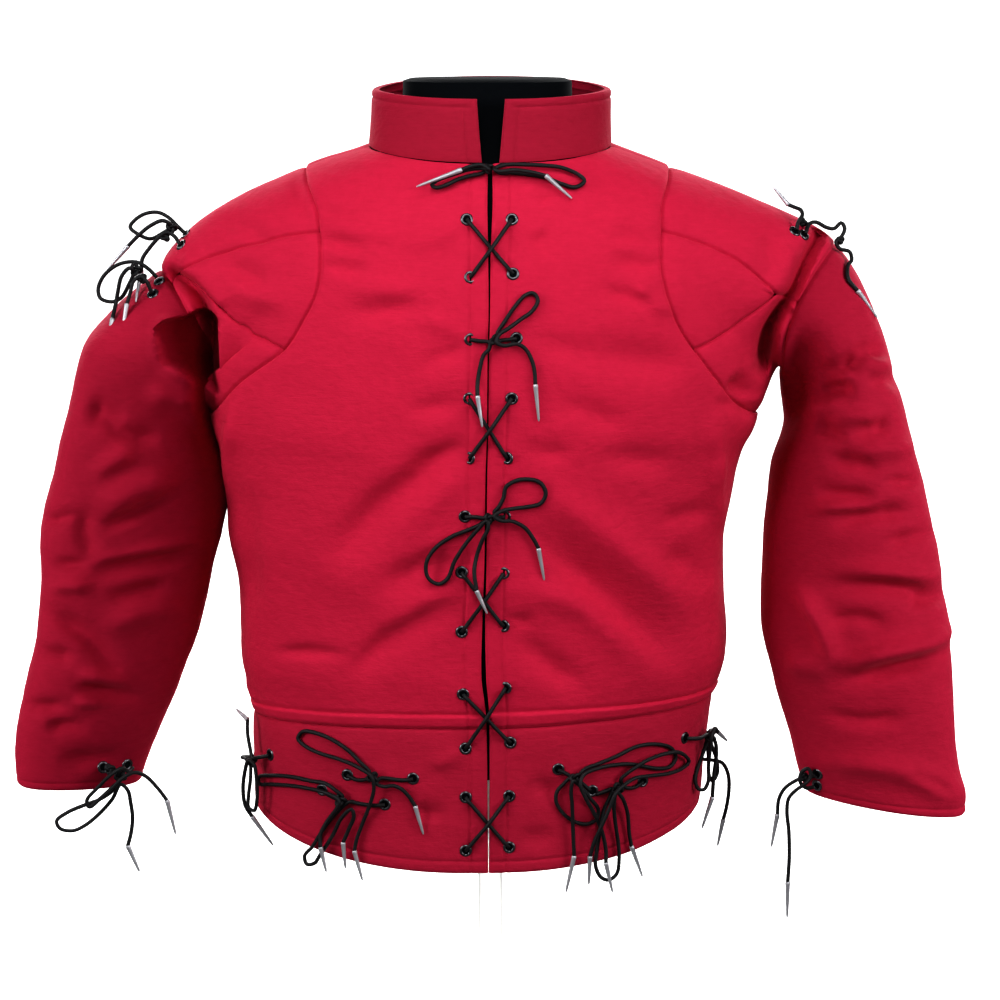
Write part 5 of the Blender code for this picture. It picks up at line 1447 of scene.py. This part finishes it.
def rings(places, normals, profile, around):
    """A profile of (radius, height off the cloth), in mm, turned about each place's normal."""
    radius, height = np.array(profile, float).T * MM
    first = unit(np.cross(normals, (0.1, 0.2, 1.0)))
    second = np.cross(normals, first)
    turn = np.linspace(0, 2 * np.pi, around, endpoint=False)
    spin = (np.cos(turn)[None, :, None] * first[:, None]
            + np.sin(turn)[None, :, None] * second[:, None])
    points = (places[:, None, None] + spin[:, :, None] * radius[None, None, :, None]
              + normals[:, None, None] * height[None, None, :, None])
    one = grid_faces(around, len(profile), closed=True)
    step = around * len(profile)
    faces = np.concatenate([one + step * k for k in range(len(places))])
    return points.reshape(-1, 3), faces


def make_eyelets(cloth, gunmetal, hollow):
    """Rolled metal rims, and black discs inside them that paint the shade of their holes."""
    places, normals = eyelet_places(cloth)
    rim = ((EYELET_HOLE, -1.2), (EYELET_HOLE + 0.2, 0.5), (EYELET_HOLE + 0.9, 1.0),
           (EYELET_RADIUS - 1.0, 0.9), (EYELET_RADIUS - 0.2, 0.4), (EYELET_RADIUS, -0.4))
    points, faces = rings(places, normals, rim, 16)
    item = mesh_piece("eyelet_rims", points, faces, [gunmetal])
    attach(item, "root")
    # A black disc just over the cloth in each rim: painted shade where the hole shows only darkness.
    points, faces = rings(places, normals, ((0.05, 0.12), (EYELET_HOLE + 0.15, 0.12)), 16)
    item = mesh_piece("eyelet_holes", points, faces, [hollow])
    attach(item, "root")


# The form and its stand

def ring_solid(name, points, finishes):
    """A closed solid through rings of points, with a flat face at each end."""
    around, down = points.shape[:2]
    faces = [tuple(face) for face in grid_faces(around, down, closed=True)]
    faces.append(tuple(i * down for i in reversed(range(around))))
    faces.append(tuple(i * down + down - 1 for i in range(around)))
    return mesh_piece(name, points, faces, finishes, smooth_angle=40)


def make_form(cover, paint):
    """The form's torso, its pole and its base plate."""
    angle = np.linspace(0, 2 * np.pi, 128, endpoint=False)
    sections = [rounded_ring(angle, FORM_MIDDLE, half, front, back, height, height, height)
                for height, half, front, back in FORM_NECK]
    for row, inset, widest in FORM_ROWS:
        ring = body(angle, row) - body_normals(angle, row) * inset * MM
        middle = float(smooth(BODY["middle"], row)) * MM
        reach = np.abs(ring[:, 0] - middle).max()
        ring[:, 0] = middle + (ring[:, 0] - middle) * min(1.0, widest * MM / reach)
        sections.append(ring)
    sections += [rounded_ring(angle, FORM_MIDDLE, half, front, back, height, height, height)
                 for height, half, front, back in FORM_FOOT]
    item = ring_solid("form_cover_cloth", np.stack(sections, axis=1), [cover])
    yield item, "form_torso"
    for name, profile, around in (("stand_pole", POLE_PROFILE, 48), ("stand_base", BASE_PROFILE, 96)):
        radius, height = np.array(profile, float).T * MM
        turn = np.linspace(0, 2 * np.pi, around, endpoint=False)[:, None]
        points = np.stack([radius * np.cos(turn), radius * np.sin(turn), height + 0 * turn], axis=-1)
        yield ring_solid(name + "_smooth", points, [paint]), name


# The studio

def make_room():
    """A white floor and wall that hide the horizon from every side. They light nothing, and the
    floor keeps out the light from below."""
    turn = np.linspace(0, 2 * np.pi, ROOM_SIDES, endpoint=False)
    rim = np.stack([BACKDROP * np.cos(turn), BACKDROP * np.sin(turn), 0 * turn], axis=-1)
    wall = np.concatenate([rim, rim + (0, 0, BACKDROP)])
    i = np.arange(ROOM_SIDES)
    ahead = (i + 1) % ROOM_SIDES
    sides = np.stack([i, i + ROOM_SIDES, ahead + ROOM_SIDES, ahead], axis=-1).tolist()
    finish = white_room("floor_white")
    for name, corners, faces in (("floor", rim, [i.tolist()]), ("backdrop", wall, sides)):
        mesh = bpy.data.meshes.new(name)
        mesh.from_pydata(corners.tolist(), [], faces)
        mesh.materials.append(finish)
        item = bpy.data.objects.new(name, mesh)
        item.visible_diffuse = False
        item.visible_glossy = False
        item.visible_shadow = name == "floor"
        bpy.context.scene.collection.objects.link(item)


def lit_groups():
    """The pieces that a group's lights fall on, as collections: each sleeve, all but the sleeves, and
    the stand."""
    sleeves = {side: bpy.data.objects["sleeve_" + side + "_cloth"] for side in SIDES}
    lit = {"sleeve_" + side: ((sleeves[side], "INCLUDE"),) for side in SIDES}
    lit["trunk"] = tuple((sleeve, "EXCLUDE") for sleeve in sleeves.values())
    lit["stand"] = tuple((bpy.data.objects[name], "INCLUDE")
                         for name in ("stand_pole_smooth", "stand_base_smooth"))
    groups = {}
    for group, pieces in lit.items():
        groups[group] = bpy.data.collections.new("lit_" + group)
        for piece, _ in pieces:
            groups[group].objects.link(piece)
        for holder, (_, state) in zip(groups[group].collection_objects, pieces):
            holder.light_linking.link_state = state
    return groups


def make_lights():
    """Soft square lights: a large box on either side, and others in front, above and behind. Each
    is linked to its group, so that the sleeves and the stand get strengths of their own."""
    groups = lit_groups()
    for name, place, size, power, group in STUDIO_LIGHTS:
        data = bpy.data.lights.new(name, "AREA")
        data.shape, data.size, data.energy = "SQUARE", size, power
        item = bpy.data.objects.new(name, data)
        aimed(item, place, LIGHTS_AIM)
        if group in groups:
            item.light_linking.receiver_collection = groups[group]


def make_world():
    """A little light from all round, and the picture's contrast."""
    world = bpy.data.worlds.new("studio")
    world.use_nodes = True
    background = world.node_tree.nodes["Background"]
    background.inputs["Color"].default_value = (1.0, 1.0, 1.0, 1.0)
    background.inputs["Strength"].default_value = AMBIENT
    bpy.context.scene.world = world
    bpy.context.scene.view_settings.view_transform = "Standard"
    bpy.context.scene.view_settings.look = "High Contrast"


def surfaces_of(pieces):
    """One tree of the pieces' faces, to find the cloth behind a point."""
    points, faces, count = [], [], 0
    for piece in pieces:
        mesh = piece.data
        flat = np.empty(len(mesh.vertices) * 3)
        mesh.vertices.foreach_get("co", flat)
        points.append(flat.reshape(-1, 3))
        corners = np.empty(len(mesh.loops), dtype=np.int32)
        mesh.loops.foreach_get("vertex_index", corners)
        faces.append(corners.reshape(-1, 4) + count)
        count += len(mesh.vertices)
    return BVHTree.FromPolygons(np.concatenate(points).tolist(), np.concatenate(faces).tolist())


def make_garment():
    """Every cloth piece with its node's name: the skirt's red is darkened as painted shade for the
    shadows of its laces and folds, the collar's red is partly a duller cloth and partly painted shade,
    and the inner faces are of lining but for the collar's and the shoulders'."""
    red, lining = red_canvas("red_canvas"), natural_lining("natural_lining")
    # The skirt's copy of the red, at 0.8, is painted shade: darker for the shadows of its laces and the
    # fold under the welt.
    skirt_red_painted_shade = red_canvas("red_skirt_painted_shade", 0.8)
    garment = []
    for maker in (make_fronts, make_backs):
        garment += list(maker([red, lining], [skirt_red_painted_shade, lining]))
    garment += list(make_sleeves([red, lining]))
    garment += list(make_shoulders([red, red]))
    # The collar's copy of the red, at 0.64, is partly a duller cloth and partly painted shade, as an
    # upright band gets less light from above.
    collar_red_duller_and_shaded = red_canvas("red_collar_duller_and_shaded", 0.64)
    garment += list(make_collar([collar_red_duller_and_shaded, collar_red_duller_and_shaded]))
    return garment


def main():
    """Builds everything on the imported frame."""
    make_camera()
    garment = make_garment()
    for piece, node in garment:
        width, length, area = FLAT_CUTS[node]
        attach(piece, "root")
        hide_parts(node)
    cloth = surfaces_of(piece for piece, _ in garment)
    braid = black_braid("black_braid")
    make_laces(cloth, braid, metal("aglet_silver", (0.45, 0.45, 0.48, 1), 0.42, 0.6))
    make_knots(braid)
    # the eyelets' holes take black jersey as painted shade
    make_eyelets(cloth, metal("eyelet_gunmetal", (0.12, 0.12, 0.13, 1), 0.3),
                 black_jersey("eyelet_hole_painted_shade"))
    for piece, node in make_form(black_jersey("form_jersey"), white_paint("white_paint")):
        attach(piece, "root")
        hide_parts(node)
    make_room()
    make_lights()
    make_world()


main()
